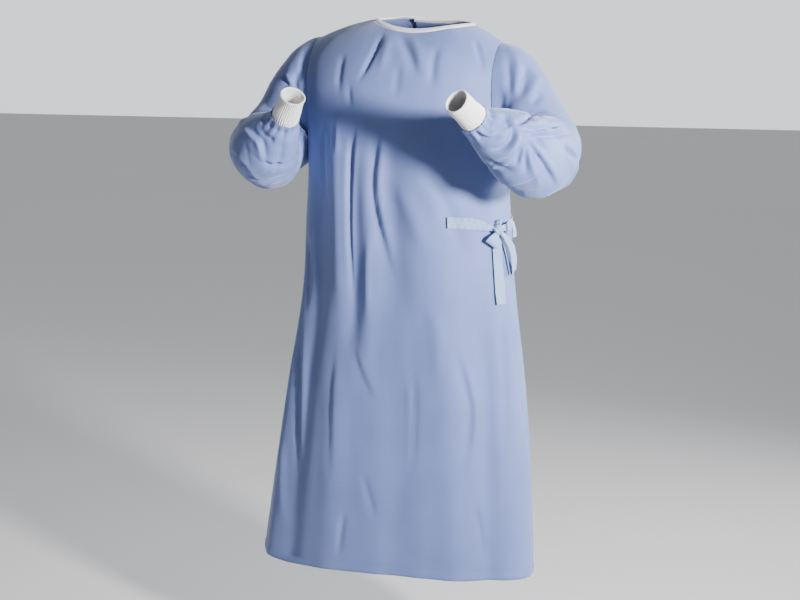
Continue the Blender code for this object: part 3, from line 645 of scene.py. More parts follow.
def add_ripples(grid, stretch, height, seed, closed=False):
    """Small uneven waves in the cloth. stretch sets their size along each axis."""
    normals = grid_normals(grid, closed)
    columns, rows = grid.shape[:2]
    push = np.zeros((columns, rows))
    for c in range(columns):
        for r in range(rows):
            x, y, z = grid[c, r]
            at = Vector((x * stretch[0] + seed, y * stretch[1], z * stretch[2]))
            push[c, r] = noise.noise(at) + 0.45 * noise.noise(at * 2.1)
    if closed:
        push[-1] = push[0]
    return grid + normals * (push * height)[..., None]


def add_wall(made, thickness):
    wall = made.modifiers.new("Cloth", "SOLIDIFY")
    wall.thickness = thickness
    wall.offset = 0.0
    wall.use_even_offset = False
    wall.use_quality_normals = True
    select_only(made)
    bpy.ops.object.modifier_apply(modifier="Cloth")


def enter(made, material, slot, *nodes):
    """Gives a piece its finish, body and replaced nodes. The slot is not used."""
    made.data.materials.clear()
    made.data.materials.append(material)
    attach(made, "root")
    if nodes:
        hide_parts(*nodes)
    return made


# Materials


def new_material(name, colour, roughness):
    material = bpy.data.materials.get(name) or bpy.data.materials.new(name)
    material.use_nodes = True
    nodes = material.node_tree.nodes
    nodes.clear()
    shader = nodes.new("ShaderNodeBsdfPrincipled")
    shader.inputs["Base Color"].default_value = (*colour, 1)
    shader.inputs["Roughness"].default_value = roughness
    out = nodes.new("ShaderNodeOutputMaterial")
    material.node_tree.links.new(shader.outputs[0], out.inputs[0])
    return material, shader


def node(material, kind, **values):
    made = material.node_tree.nodes.new(kind)
    for name, value in values.items():
        if name in made.inputs:
            made.inputs[name].default_value = value
        else:
            setattr(made, name, value)
    return made


def link(material, start, end):
    material.node_tree.links.new(start, end)


def scaled_noise(material, source, scale, detail, stretch=(1, 1, 1)):
    mapping = node(material, "ShaderNodeMapping")
    mapping.inputs["Scale"].default_value = stretch
    link(material, source, mapping.inputs["Vector"])
    texture = node(material, "ShaderNodeTexNoise", Scale=scale, Detail=detail)
    link(material, mapping.outputs[0], texture.inputs["Vector"])
    return texture.outputs["Fac"]


def colour_between(material, factor, dark, light, low=0.3, high=0.7):
    ramp = node(material, "ShaderNodeValToRGB")
    ramp.color_ramp.elements[0].position = low
    ramp.color_ramp.elements[0].color = (*dark, 1)
    ramp.color_ramp.elements[1].position = high
    ramp.color_ramp.elements[1].color = (*light, 1)
    link(material, factor, ramp.inputs[0])
    return ramp.outputs[0]


def add_bump(material, shader, height, strength, distance, before=None):
    bump = node(material, "ShaderNodeBump")
    bump.inputs["Strength"].default_value = strength
    bump.inputs["Distance"].default_value = distance
    link(material, height, bump.inputs["Height"])
    if before:
        link(material, before, bump.inputs["Normal"])
    link(material, bump.outputs[0], shader.inputs["Normal"])
    return bump.outputs[0]


def nonwoven_material(name, colour, bond_spacing):
    """Spunbond non-woven: laid fibres, a fine grid of bond points and faint uneven tone."""
    material, shader = new_material(name, colour, 0.62)
    shader.inputs["Sheen Weight"].default_value = 0.35
    shader.inputs["Sheen Roughness"].default_value = 0.45
    shader.inputs["Sheen Tint"].default_value = (0.80, 0.86, 1.0, 1)
    shader.inputs["Specular IOR Level"].default_value = 0.32
    place = node(material, "ShaderNodeTexCoord").outputs["Object"]
    cloth = node(material, "ShaderNodeTexCoord").outputs["UV"]
    tone = scaled_noise(material, place, 9.0, 4.0)
    dark = tuple(c * 0.93 for c in colour)
    light = tuple(min(c * 1.06, 1.0) for c in colour)
    base = colour_between(material, tone, dark, light)
    fibres = scaled_noise(material, cloth, 620.0, 3.0, (1.0, 0.35, 1.0))
    speckle = colour_between(material, fibres, (0.86, 0.87, 0.90), (1.0, 1.0, 1.0), 0.35, 0.62)
    blend = node(material, "ShaderNodeMix", data_type="RGBA", blend_type="MULTIPLY")
    blend.inputs["Factor"].default_value = 0.55
    link(material, base, blend.inputs[6])
    link(material, speckle, blend.inputs[7])
    link(material, blend.outputs[2], shader.inputs["Base Color"])
    bonds = node(material, "ShaderNodeTexVoronoi", feature="F1", Scale=1 / bond_spacing, Randomness=0.12)
    link(material, cloth, bonds.inputs["Vector"])
    fibre_bump = add_bump(material, shader, fibres, 0.22, 0.0004)
    add_bump(material, shader, bonds.outputs["Distance"], 0.16, 0.0003, fibre_bump)
    return material


def knit_material(name, colour):
    """Rib knit: fine loops down each rib."""
    material, shader = new_material(name, colour, 0.88)
    shader.inputs["Sheen Weight"].default_value = 0.4
    shader.inputs["Sheen Roughness"].default_value = 0.5
    cloth = node(material, "ShaderNodeTexCoord").outputs["UV"]
    loops = node(material, "ShaderNodeTexWave", wave_type="BANDS", bands_direction="Y",
                 Scale=190.0, Distortion=3.0, Detail=2.0)
    link(material, cloth, loops.inputs["Vector"])
    fuzz = scaled_noise(material, cloth, 900.0, 2.0)
    tint = colour_between(material, fuzz, tuple(c * 0.86 for c in colour), colour, 0.3, 0.6)
    link(material, tint, shader.inputs["Base Color"])
    soft = add_bump(material, shader, fuzz, 0.3, 0.0004)
    add_bump(material, shader, loops.outputs["Fac"], 0.55, 0.0006, soft)
    return material


def floor_material(colour):
    material, shader = new_material("pale_floor", colour, 0.9)
    place = node(material, "ShaderNodeTexCoord").outputs["Object"]
    tone = scaled_noise(material, place, 0.6, 2.0)
    link(material, colour_between(material, tone, tuple(c * 0.985 for c in colour), colour),
         shader.inputs["Base Color"])
    return material


# Settings


class GownSizes(bpy.types.PropertyGroup):
    cloth_wall: bpy.props.FloatProperty(
        name="Cloth thickness", description="Thickness of the thin cloth shell",
        default=0.0006, min=0.0002, max=0.002, subtype="DISTANCE", unit="LENGTH")
    front_columns: bpy.props.IntProperty(
        name="Front columns", description="Cells across the front panel between the neck's sides", default=58)
    top_rows: bpy.props.IntProperty(
        name="Top rows", description="Cells from the ridge to the chest", default=34)
    chest_rows: bpy.props.IntProperty(
        name="Chest rows", description="Cells down the armhole", default=32)
    skirt_rows: bpy.props.IntProperty(
        name="Skirt rows", description="Cells from underarm to hem", default=156)
    sleeve_columns: bpy.props.IntProperty(
        name="Sleeve columns", description="Cells round a sleeve", default=204)
    sleeve_rows: bpy.props.IntProperty(
        name="Sleeve rows", description="Cells along a sleeve", default=172)
    ripple_height: bpy.props.FloatProperty(
        name="Ripple height", description="Height of the body's small waves",
        default=0.0016, min=0.0, max=0.01, subtype="DISTANCE", unit="LENGTH")
    sleeve_ripple: bpy.props.FloatProperty(
        name="Sleeve ripple height", description="Height of the sleeves' small waves",
        default=0.0012, min=0.0, max=0.01, subtype="DISTANCE", unit="LENGTH")
    crease_gain: bpy.props.FloatProperty(
        name="Crease strength", description="Multiplies the depth of every placed crease",
        default=1.25, min=0.0, max=3.0)
    cuff_ribs: bpy.props.IntProperty(
        name="Cuff ribs", description="Ribs round a cuff", default=38)
    rib_depth: bpy.props.FloatProperty(
        name="Rib depth", description="Depth of the cuff's ribs",
        default=0.0011, min=0.0, max=0.002, subtype="DISTANCE", unit="LENGTH")
    bond_spacing: bpy.props.FloatProperty(
        name="Bond spacing", description="Distance between the non-woven's bond points",
        default=0.0016, min=0.0005, max=0.005, subtype="DISTANCE", unit="LENGTH")


class GownColours(bpy.types.PropertyGroup):
    cloth: bpy.props.FloatVectorProperty(
        name="Cloth", description="Colour of the blue non-woven", subtype="COLOR", size=3,
        default=(0.145, 0.205, 0.450), min=0, max=1)
    tie: bpy.props.FloatVectorProperty(
        name="Ties", description="Colour of the waist tie", subtype="COLOR", size=3,
        default=(0.255, 0.360, 0.580), min=0, max=1)
    knit: bpy.props.FloatVectorProperty(
        name="Cuffs", description="Colour of the knit cuffs", subtype="COLOR", size=3,
        default=(0.86, 0.86, 0.86), min=0, max=1)
    binding: bpy.props.FloatVectorProperty(
        name="Binding", description="Colour of the neck binding", subtype="COLOR", size=3,
        default=(0.80, 0.82, 0.85), min=0, max=1)
    floor: bpy.props.FloatVectorProperty(
        name="Floor", description="Colour of the floor", subtype="COLOR", size=3,
        default=(0.78, 0.78, 0.78), min=0, max=1)


def sizes():
    return bpy.context.scene.gown_sizes


def colours():
    return bpy.context.scene.gown_colours


def shared_nonwoven(name, colour):
    found = bpy.data.materials.get(name)
    return found or nonwoven_material(name, tuple(colour), sizes().bond_spacing)


def cloth_material():
    return shared_nonwoven("blue_nonwoven", colours().cloth)


def tie_material():
    return shared_nonwoven("tie_nonwoven", colours().tie)


# Body panels


def centre_shell(grid, closed=False):
    """Moves a form's inner face out to the middle of the solid's wall."""
    return grid + grid_normals(grid, closed) * SOLID_WALL / 2


def hem_line(grid):
    """A folded hem: the last rows stand a little proud of the cloth above them."""
    normals = grid_normals(grid)
    drops = np.linalg.norm(np.diff(grid, axis=1), axis=2).mean(0)
    from_end = np.concatenate([np.cumsum(drops[::-1])[::-1], [0]])
    folded = HEM_RAISE * smooth_step((HEM_FOLD - from_end) / HEM_EDGE)
    push = folded - STITCH_DIP * np.exp(-(((from_end - HEM_FOLD - 0.001) / STITCH_WIDTH) ** 2))
    return grid + normals * push[None, :, None]


def make_front_panel():
    size = sizes()
    between = np.linspace(180.0 - NECK_FIRST_STEP, NECK_FIRST_STEP, size.front_columns - 1)
    angles = np.concatenate([[180.0], between, [0.0]])
    neck_quarters, neck_levels = neck_place(angles, BINDING_WIDTH)
    right = np.linspace(-1.0, neck_quarters[0], NECK_BACK_CELLS)[:-1]
    left = np.linspace(neck_quarters[-1], 1.0, SHOULDER_CELLS)[1:]
    quarters = np.concatenate([right, neck_quarters, left])
    starts = np.concatenate([right * 0, neck_levels, left * 0])
    levels = row_levels(starts, size)
    grid = centre_shell(body_point(quarters[:, None] + levels * 0, levels))
    grid = add_creases(grid, FRONT_CREASES)
    grid = add_ripples(grid, BODY_RIPPLES, size.ripple_height, BODY_RIPPLE_SEED)
    grid = hem_line(grid)
    made = grid_object("front_cloth", grid)
    add_wall(made, size.cloth_wall)
    enter(made, cloth_material(), "nonwoven", "front_panel")


def lap_lift(quarter, under_quarter):
    return LAP_LIFT * smooth_step((under_quarter + 0.20 - quarter) / 0.14)


def back_grid(edge_name, seam, neck_side):
    size = sizes()
    first = neck_side + math.copysign(NECK_FIRST_STEP, NECK_STARTS[edge_name] - neck_side)
    angles = np.concatenate([[neck_side], np.linspace(first, NECK_STARTS[edge_name], NECK_BACK_CELLS - 2)])
    neck_quarters, neck_levels = neck_place(angles, BINDING_WIDTH, is_back=True)
    shoulder = np.linspace(seam, neck_quarters[0], SHOULDER_CELLS)[:-1]
    quarters = np.concatenate([shoulder, neck_quarters])
    starts = np.concatenate([shoulder * 0, neck_levels])
    levels = row_levels(starts, size)
    share = (quarters - seam) / (quarters[-1] - seam)
    drift = FREE_EDGES.read(edge_name, levels) - FREE_EDGES.read(edge_name, starts)[:, None]
    placed = quarters[:, None] + drift * share[:, None]
    under_start = neck_place(NECK_STARTS["under"], BINDING_WIDTH, is_back=True)[0]
    lift = np.zeros_like(levels)
    if edge_name == "outer":
        lift = lap_lift(placed, under_start + FREE_EDGES.read("under", levels))
    grid = body_point(placed, levels, lift)
    return grid[::-1] if seam > 2 else grid


def make_back_panel(name, edge_name, seam, neck_side, node_name):
    size = sizes()
    grid = centre_shell(back_grid(edge_name, seam, neck_side))
    quarters = np.linspace(LEFT_SEAM_BACK, RIGHT_SEAM_BACK, 61)[:, None]
    whole_back = body_point(quarters, np.linspace(0, 3, 121)[None, :])
    grid = add_creases(grid, BACK_CREASES, seen=False, form=whole_back)
    grid = add_ripples(grid, BODY_RIPPLES, size.ripple_height, BODY_RIPPLE_SEED)
    grid = hem_line(grid)
    made = grid_object(name, grid)
    add_wall(made, size.cloth_wall)
    enter(made, cloth_material(), "nonwoven", node_name)


# Sleeves


def armhole_place(side, angle):
    sweep = np.radians(angle)
    over = np.degrees(np.arcsin(np.clip(np.abs(np.sin(sweep)), 0, 1))) / 90
    below = 1 + np.degrees(np.arcsin(np.clip(np.abs(np.cos(sweep)), 0, 1))) / 90
    level = np.where(np.cos(sweep) >= 0, over, below)
    behind = LEFT_SEAM_BACK if side > 0 else RIGHT_SEAM_BACK
    return np.where(np.sin(sweep) >= 0, float(side), behind), level


def armhole_point(side, angle):
    return body_point(*armhole_place(side, angle))


class ArmPath:
    """Straight runs joined by arcs at the elbow and the wrist, with a frame carried along."""

    def __init__(self, side, crumple, corners):
        self.side = side
        self.crumple = crumple
        ends = armhole_point(side, np.array([0.0, 180.0]))
        points = [Vector((ends[0] + ends[1]) / 2)] + [Vector(corner) for corner in corners]
        headings = [(b - a).normalized() for a, b in zip(points, points[1:])]
        self.pieces = []
        begin = points[0]
        for i, radius in enumerate((ELBOW_BEND, WRIST_BEND)):
            turn = headings[i].angle(headings[i + 1])
            cut = radius * math.tan(turn / 2)
            end = points[i + 1] - headings[i] * cut
            self.pieces.append(("run", begin, headings[i], (end - begin).length))
            inward = headings[i].cross(headings[i + 1]).cross(headings[i]).normalized()
            self.pieces.append(("bend", end, headings[i], inward, radius, radius * turn))
            begin = points[i + 1] + headings[i + 1] * cut
        self.pieces.append(("run", begin, headings[-1], (points[-1] - begin).length))
        self.full = sum(piece[-1] for piece in self.pieces)
        self.length = self.full - CUFF_LENGTH

    def at(self, distance):
        for piece in self.pieces:
            if distance <= piece[-1] or piece is self.pieces[-1]:
                break
            distance -= piece[-1]
        if piece[0] == "run":
            return piece[1] + piece[2] * distance, piece[2]
        _, begin, first, inward, radius, _ = piece
        angle = distance / radius
        centre = begin + radius * (first * math.sin(angle) + inward * (1 - math.cos(angle)))
        return centre, first * math.cos(angle) + inward * math.sin(angle)

    def frame(self, distance):
        first, last = self.pieces[0][2], self.pieces[2][2]
        up = (Vector((0, 0, 1)) - first * first.z).normalized()
        _, heading = self.at(distance)
        if distance <= sum(piece[-1] for piece in self.pieces[:2]):
            up.rotate(first.rotation_difference(heading))
        else:
            up.rotate(first.rotation_difference(last))
            up.rotate(last.rotation_difference(heading))
        return up, heading.cross(up) * self.side


def sleeve_swell(arm, distance, angle):
    """The largest folds and the gathers where the sleeve is sewn to its cuff."""
    share = min(distance / (arm.length - SLEEVE_END), 1.0)
    total = np.zeros_like(angle)
    for fold in SLEEVE_FOLDS.rows:
        along = (share - fold["share"]) / fold["reach"]
        around = ((angle - fold["angle"] + 180) % 360 - 180) / fold["spread"]
        total = total + fold["depth"] * np.exp(-along * along - around * around)
    left = arm.length + SLEEVE_OVERLAP - distance
    fade = mix(0.25, 1.0, smooth_step(left / 0.014)) * smooth_step(1 - left / GATHER_FADE)
    waves = np.cos(np.radians(angle * 13 + 30 * np.sin(np.radians(angle * 2))))
    waves = waves + 0.6 * np.cos(np.radians(angle * 8 + 50))
    return total + GATHER_HEIGHT * fade * waves


def side_reach(points):
    power = BODY.read("round", points[:, 2])
    depth = np.where(points[:, 1] < 0, BODY.read("front", points[:, 2]), BODY.read("back", points[:, 2]))
    share = np.minimum(np.abs(points[:, 1]) / depth, 1.0)
    return BODY.read("half_width", points[:, 2]) * (1 - share ** power) ** (1 / power)


def sleeve_ring(arm, distance, angle):
    share = min(distance / (arm.length - SLEEVE_END), 1.0)
    centre = np.array(arm.at(distance)[0])
    up, forward = (np.array(axis) for axis in arm.frame(distance))
    swell = sleeve_swell(arm, distance, angle)
    high = GIRTH.read("half_height", share) + swell
    deep = GIRTH.read("half_depth", share) + swell
    turn = np.radians(angle)
    ring = centre + np.outer(high * np.cos(turn), up) + np.outer(deep * np.sin(turn), forward)
    outward = np.array((arm.side, 0.0, 0.0))
    start = armhole_point(arm.side, angle) + outward * SLEEVE_GAP
    point = mix(start + outward * distance, ring, smooth_step((distance - SLEEVE_STRAIGHT) / SLEEVE_BLEND))
    if distance < ARMPIT_REACH:
        least = start[:, 0] * arm.side
        clearance = min(ARMPIT_CLEARANCE, SOLID_WALL + SLEEVE_GAP + distance / 3)
        low = point[:, 2] < CHEST_HEIGHT
        least = np.where(low, np.maximum(least, side_reach(point) + clearance), least)
        point[:, 0] = arm.side * np.maximum(point[:, 0] * arm.side, least)
    return point


def crook_wrinkles(arm, grid, angles, distances):
    """Short wrinkles that run round the sleeve, deepest at the elbow: sharp valleys, full crests."""
    normals = grid_normals(grid, True)
    share = distances / arm.length
    depth = 0.0012 + arm.crumple * np.exp(-(((share - ELBOW_SHARE) / ELBOW_SPREAD) ** 2))
    push = np.zeros(grid.shape[:2])
    for c, angle in enumerate(angles):
        turn = math.radians(angle)
        around = Vector((math.cos(turn) * 0.62 + 5, math.sin(turn) * 0.62 + arm.side * 3, 0))
        for r, distance in enumerate(distances):
            sway = noise.noise(around * 1.7 + Vector((0, 0, distance * 6))) * 0.9
            value = noise.noise(around + Vector((0, 0, distance * 19 + sway)))
            push[c, r] = (min(abs(value) * 3.2, 1.0) ** 0.7 - 0.55) * depth[r]
    fade = smooth_step(distances / 0.03) * smooth_step((arm.length - distances) / 0.04)
    return grid + normals * (push * fade)[..., None]


def make_sleeve(arm_name, creases):
    size = sizes()
    arm = ArmPath(**ARMS[arm_name])
    angles = np.linspace(0.0, 360.0, size.sleeve_columns + 1)
    angles[-1] = 0.0
    distances = np.linspace(0.0, arm.length + SLEEVE_OVERLAP, size.sleeve_rows + 1)
    grid = np.stack([sleeve_ring(arm, distance, angles) for distance in distances], 1)
    if arm.side > 0:
        grid, angles = grid[::-1], angles[::-1]
    grid = centre_shell(grid, True)
    grid = crook_wrinkles(arm, grid, angles, distances)
    grid = add_creases(grid, creases, closed=True)
    hidden = [((place(arm, a, b), place(arm, (a + c) / 2, (b + d) / 2), place(arm, c, d)), width, depth, kind)
              for a, b, c, d, width, depth, kind in SLEEVE_BACK_CREASES]
    grid = add_creases(grid, hidden, seen=False, closed=True)
    grid = add_ripples(grid, SLEEVE_RIPPLES, size.sleeve_ripple, 1.3 * arm.side, closed=True)
    name = "sleeve_cloth_" + arm_name
    made = grid_object(name, grid, closed=True)
    add_wall(made, size.cloth_wall)
    enter(made, cloth_material(), "nonwoven", "sleeve_" + arm_name)


def place(arm, share, angle):
    """A point on the sleeve by its share of the length and its angle round."""
    return tuple(sleeve_ring(arm, share * arm.length, np.array([angle, angle]))[0])


# Cuffs


def make_cuff(arm_name):
    size = sizes()
    arm = ArmPath(**ARMS[arm_name])
    centre, heading = (np.array(v) for v in arm.at(arm.length))
    up, forward = (np.array(v) for v in arm.frame(arm.length))
    columns = size.cuff_ribs * 6
    turn = np.linspace(0, 2 * math.pi, columns + 1)
    turn[-1] = 0.0
    spoke = np.outer(np.cos(turn), up) + np.outer(np.sin(turn), forward)
    rib = np.cos(turn * size.cuff_ribs)
    out = np.linspace(0.0, 1.0, 30)
    profile = [(0.0, 0.0), *((share, 1.0) for share in out), (1.0, 0.35), (0.996, 0.0)]
    profile += [(share, 0.0) for share in np.linspace(0.95, 0.0, 14)] + [(0.0, 0.0)]
    rows = []
    for i, (share, side) in enumerate(profile):
        radius = mix(CUFF_BASE_RADIUS, CUFF_MOUTH_RADIUS, smooth_step(share))
        wave = 0.0009 * math.sin(share * 9 + 1) * np.cos(turn * 2 + arm.side)
        flare = 0.0010 * smooth_step((share - 0.86) / 0.14)
        around = radius + KNIT_WALL * side + wave + flare
        around = around + size.rib_depth * side * rib * smooth_step(share / RIB_START)
        base = centre + heading * (SEAM_GAP + CUFF_LENGTH * share)
        rows.append(base + spoke * around[:, None])
    grid = np.stack(rows, 1)
    if arm.side > 0:
        grid = grid[::-1]
    made = grid_object("cuff_knit_" + arm_name, grid, closed=True)
    face_outwards(made)
    found = bpy.data.materials.get("rib_knit") or knit_material("rib_knit", tuple(colours().knit))
    enter(made, found, "white_knit", "cuff_" + arm_name)


# Neck binding


def binding_grid():
    """The folded strip's cross-section carried round the neckline."""
    behind_right = np.linspace(NECK_STARTS["outer"], 180.0, 46)
    front = np.linspace(180.0, 0.0, 100)
    behind_left = np.linspace(360.0, NECK_STARTS["under"], 66)
    angles = np.concatenate([behind_right[:-1], front, behind_left[1:]])
    is_back = np.concatenate([np.ones(45, bool), np.zeros(100, bool), np.ones(65, bool)])
    under = neck_place(NECK_STARTS["under"], BINDING_WIDTH, is_back=True)[0]
    lines = []
    for share in np.linspace(0, 1, 9):
        grow = mix(0.0, BINDING_WIDTH - SEAM_GAP, share)
        q_front, l_front = neck_place(angles, grow)
        q_back, l_back = neck_place(angles, grow, is_back=True)
        quarter, level = np.where(is_back, q_back, q_front), np.where(is_back, l_back, l_front)
        lapped = np.where(np.arange(len(angles)) < 45, lap_lift(quarter, under), 0.0)
        lines.append((quarter, level, lapped, share))
    return lines


def make_binding():
    lines = binding_grid()
    rows = []
    for side in (1, -1):
        ordered = lines if side > 0 else lines[::-1]
        for quarter, level, lapped, share in ordered:
            crown = math.sqrt(max(0.0, 1 - (2 * share - 1) ** 6))
            height = SOLID_WALL / 2 + side * BINDING_HALF_WALL * crown
            rows.append(body_point(quarter, level, lapped + height))
    rows.append(rows[0])
    grid = np.stack(rows, 0)
    made = grid_object("neck_binding_strip", grid, closed=True)
    face_outwards(made)
    found = bpy.data.materials.get("white_binding_cloth")
    material = found or nonwoven_material("white_binding_cloth", tuple(colours().binding), 0.0012)
    enter(made, material, "white_binding", "neck_binding")


# Waist tie and bow


def waist_normal(turn, height):
    around = section_point(turn + 0.5, height) - section_point(turn - 0.5, height)
    return Vector(np.cross(around, (0, 0, 1))).normalized()


def panel_tree():
    """The three dressed panels, for laying the ties on them."""
    points, faces = [], []
    for name in ("front_cloth", "back_cloth_left", "back_cloth_right"):
        mesh = bpy.data.objects[name].data
        first = len(points)
        points += [vertex.co.copy() for vertex in mesh.vertices]
        faces += [[first + i for i in face.vertices] for face in mesh.polygons]
    return BVHTree.FromPolygons(points, faces)


def waist_point(panels, turn, height, lift):
    normal = waist_normal(turn, height)
    outside = Vector(section_point(turn, height)) + normal * LOOK_FROM
    found = panels.ray_cast(outside, -normal, 2 * LOOK_FROM)[0] or panels.find_nearest(outside)[0]
    return found + normal * lift


TIE_STRIPS = {
    "waist_tie_front": {"lean": 90.0, "knot_ends": (-1,), "rows": (
        (30.5, -0.430, 0.0019, 0.0240), (36.0, -0.431, 0.0019, 0.0240),
        (42.0, -0.432, 0.0019, 0.0240), (48.0, -0.434, 0.0024, 0.0240),
        (54.0, -0.437, 0.0050, 0.0215), (59.0, -0.441, 0.0085, 0.0150),
        (62.8, -0.4435, 0.0128, 0.0090))},
    "waist_tie_back": {"lean": 90.0, "knot_ends": (-1,), "rows": (
        (138.0, -0.439, 0.0022, 0.0240), (131.0, -0.440, 0.0022, 0.0240),
        (124.5, -0.440, 0.0034, 0.0240), (119.0, -0.441, 0.0085, 0.0240),
        (112.0, -0.4415, 0.0050, 0.0240),
        (104.0, -0.442, 0.0022, 0.0240), (92.0, -0.443, 0.0030, 0.0240),
        (83.0, -0.444, 0.0060, 0.0210), (76.0, -0.445, 0.0095, 0.0150),
        (71.0, -0.446, 0.0130, 0.0120))},
    "tie_loop_front": {"lean": -35.0, "knot_ends": (0, -1), "rows": (
        (64.5, -0.4550, 0.0170, 0.0080), (63.0, -0.4600, 0.0185, 0.0170),
        (61.6, -0.4670, 0.0190, 0.0270), (60.3, -0.4750, 0.0165, 0.0320),
        (59.9, -0.4785, 0.0120, 0.0320), (60.3, -0.4750, 0.0082, 0.0300),
        (61.6, -0.4670, 0.0080, 0.0240), (63.0, -0.4600, 0.0115, 0.0150),
        (64.5, -0.4550, 0.0138, 0.0080))},
    "tie_tail_front": {"lean": 0.0, "knot_ends": (0,), "rows": (
        (67.8, -0.4590, 0.0080, 0.0150), (67.7, -0.4680, 0.0045, 0.0230),
        (67.5, -0.4900, 0.0040, 0.0250), (67.3, -0.5250, 0.0040, 0.0255),
        (67.0, -0.5600, 0.0045, 0.0255), (66.8, -0.5900, 0.0050, 0.0255),
        (66.7, -0.6080, 0.0060, 0.0250))},
    "tie_loop_back": {"lean": 26.0, "knot_ends": (0, -1), "rows": (
        (70.0, -0.4575, 0.0165, 0.0080), (73.5, -0.4680, 0.0180, 0.0140),
        (78.5, -0.4880, 0.0180, 0.0200), (81.5, -0.5100, 0.0160, 0.0230),
        (83.0, -0.5350, 0.0125, 0.0240), (83.5, -0.5440, 0.0090, 0.0240),
        (83.0, -0.5350, 0.0055, 0.0230), (81.5, -0.5100, 0.0045, 0.0220),
        (78.5, -0.4880, 0.0055, 0.0190), (74.0, -0.4690, 0.0095, 0.0130),
        (70.5, -0.4585, 0.0125, 0.0080))},
    "tie_tail_back": {"lean": 0.0, "knot_ends": (0,), "rows": (
        (67.5, -0.4320, 0.0150, 0.0050), (69.3, -0.4255, 0.0190, 0.0090),
        (73.0, -0.4250, 0.0250, 0.0110), (75.0, -0.4290, 0.0285, 0.0120),
        (76.5, -0.4400, 0.0310, 0.0120), (77.0, -0.4520, 0.0310, 0.0120),
        (77.0, -0.4640, 0.0300, 0.0120))},
}
# The ties are one strip 24 mm wide; the length of it that each piece shows
TIE_WIDTH = 0.024


def knot_frame(panels):
    turn, height, lift = KNOT_PLACE
    return waist_point(panels, turn, height, lift), waist_normal(turn, height).to_track_quat("X", "Z")


def knot_edge(panels, toward):
    centre, facing = knot_frame(panels)
    way = toward - centre
    local = facing.inverted() @ way
    reach = 1 / Vector([a / b for a, b in zip(local, KNOT_SIZE)]).length
    return centre + way * (reach - GRIP_DEPTH)


def make_strip(name, panels, rows, lean, knot_ends):
    """A folded tie: its long edges are creased, and it cups a little across its width."""
    path = Table(("along", "turn", "height", "lift", "width"),
                 *[(float(i), *row) for i, row in enumerate(rows)])
    cells = 8
    shares = np.linspace(0.5, -0.5, 9)
    grid = []
    for along in np.linspace(0.0, len(rows) - 1.0, (len(rows) - 1) * cells + 1):
        turn, height, lift, width = [float(path.read(column, along)) for column in path.names[1:]]
        normal = waist_normal(turn, height)
        level = Vector((0, 0, 1)).cross(normal)
        side = level * math.cos(math.radians(lean)) + Vector((0, 0, math.sin(math.radians(lean))))
        centre = waist_point(panels, turn, height, lift)
        wave = 0.0006 * math.sin(along * 2.3 + turn)
        grid.append([centre + side * width * share + normal * (wave * (2 * share)) for share in shares])
    for end in knot_ends:
        inner = cells if end == 0 else -1 - cells
        shift = knot_edge(panels, grid[inner][4]) - grid[end][4]
        for i in range(cells):
            row = i if end == 0 else -1 - i
            fade = 1 - i / cells
            grid[row] = [point + shift * fade for point in grid[row]]
    grid = np.array([[tuple(point) for point in line] for line in grid])
    made = grid_object(name + "_cloth", grid)
    add_wall(made, TIE_WALL)
    soften = made.modifiers.new("Edges", "BEVEL")
    soften.width = TIE_EDGE
    soften.segments = 2
    soften.limit_method = "ANGLE"
    select_only(made)
    bpy.ops.object.modifier_apply(modifier="Edges")
    enter(made, tie_material(), "tie_cloth", name)


def make_tie_stitches(panels):
    """The row of thread that fixes the front tie's end to the gown, made dark and wide so that it is partly
    the real thread and partly painted shadow at the tie's tucked end.
    """
    count, turn, height, lift = 8, 30.7, -0.430, 0.0028
    for i in range(count):
        at = waist_point(panels, turn, height + TIE_WIDTH * (i / (count - 1) - 0.5) * 0.86, lift)
        bpy.ops.mesh.primitive_uv_sphere_add(segments=12, ring_count=8, radius=1.0, location=at)
        stitch = bpy.context.active_object
        stitch.scale = (0.0013, 0.0013, 0.0015)
        stitch.name = "tie_stitch_%d" % i
    bpy.ops.object.select_all(action="DESELECT")
    for i in range(count):
        bpy.data.objects["tie_stitch_%d" % i].select_set(True)
    bpy.context.view_layer.objects.active = bpy.data.objects["tie_stitch_0"]
    bpy.ops.object.join()
    bpy.ops.object.transform_apply(location=True, rotation=True, scale=True)
    made = bpy.context.active_object
    made.name = made.data.name = "tie_stitches"
    made.data.shade_smooth()
    # Very dark colour: partly the thread's own navy, partly painted shadow of the tie's tucked end
    thread, _ = new_material("dark_thread_and_painted_shadow", (0.035, 0.055, 0.120), 0.6)
    enter(made, thread, "tie_cloth")


def make_knot(panels):
    """A pulled knot: wound folds round a small rounded core."""
    bpy.ops.mesh.primitive_uv_sphere_add(segments=72, ring_count=48, radius=1.0)
    made = bpy.context.active_object
    made.name = made.data.name = "tie_knot_cloth"
    centre, facing = knot_frame(panels)
    for vertex in made.data.vertices:
        x, y, z = vertex.co
        across = y * 0.75 + z * 0.66
        wrap = 0.10 * math.cos(across * 9.0 + x * 1.5) + 0.05 * noise.noise(Vector((x, y, z)) * 3.0)
        waist = 1.0 - 0.12 * math.exp(-((across / 0.3) ** 2))
        sized = Vector([a * b for a, b in zip((x, y, z), KNOT_SIZE)])
        vertex.co = centre + facing @ (sized * (waist + wrap))
    made.data.shade_smooth()
    enter(made, tie_material(), "tie_cloth", "tie_knot")


# Stage

# Name, place, aim, power, size, colour and spread of each light
LIGHTS = (
    ("key_light", (2.23, -1.46, 0.02), (0.05, -0.10, -0.20), 64, 0.36, (1.0, 0.945, 0.965), 95.0),
    ("fill_light", (-0.6, -3.8, 1.2), (0, 0, -0.6), 8, 2.2, (0.80, 0.90, 1.0), 180.0),
    ("back_light", (2.9, 2.2, 0.7), (0, 0, -0.5), 50, 0.7, (1.0, 1.0, 1.0), 90.0),
)


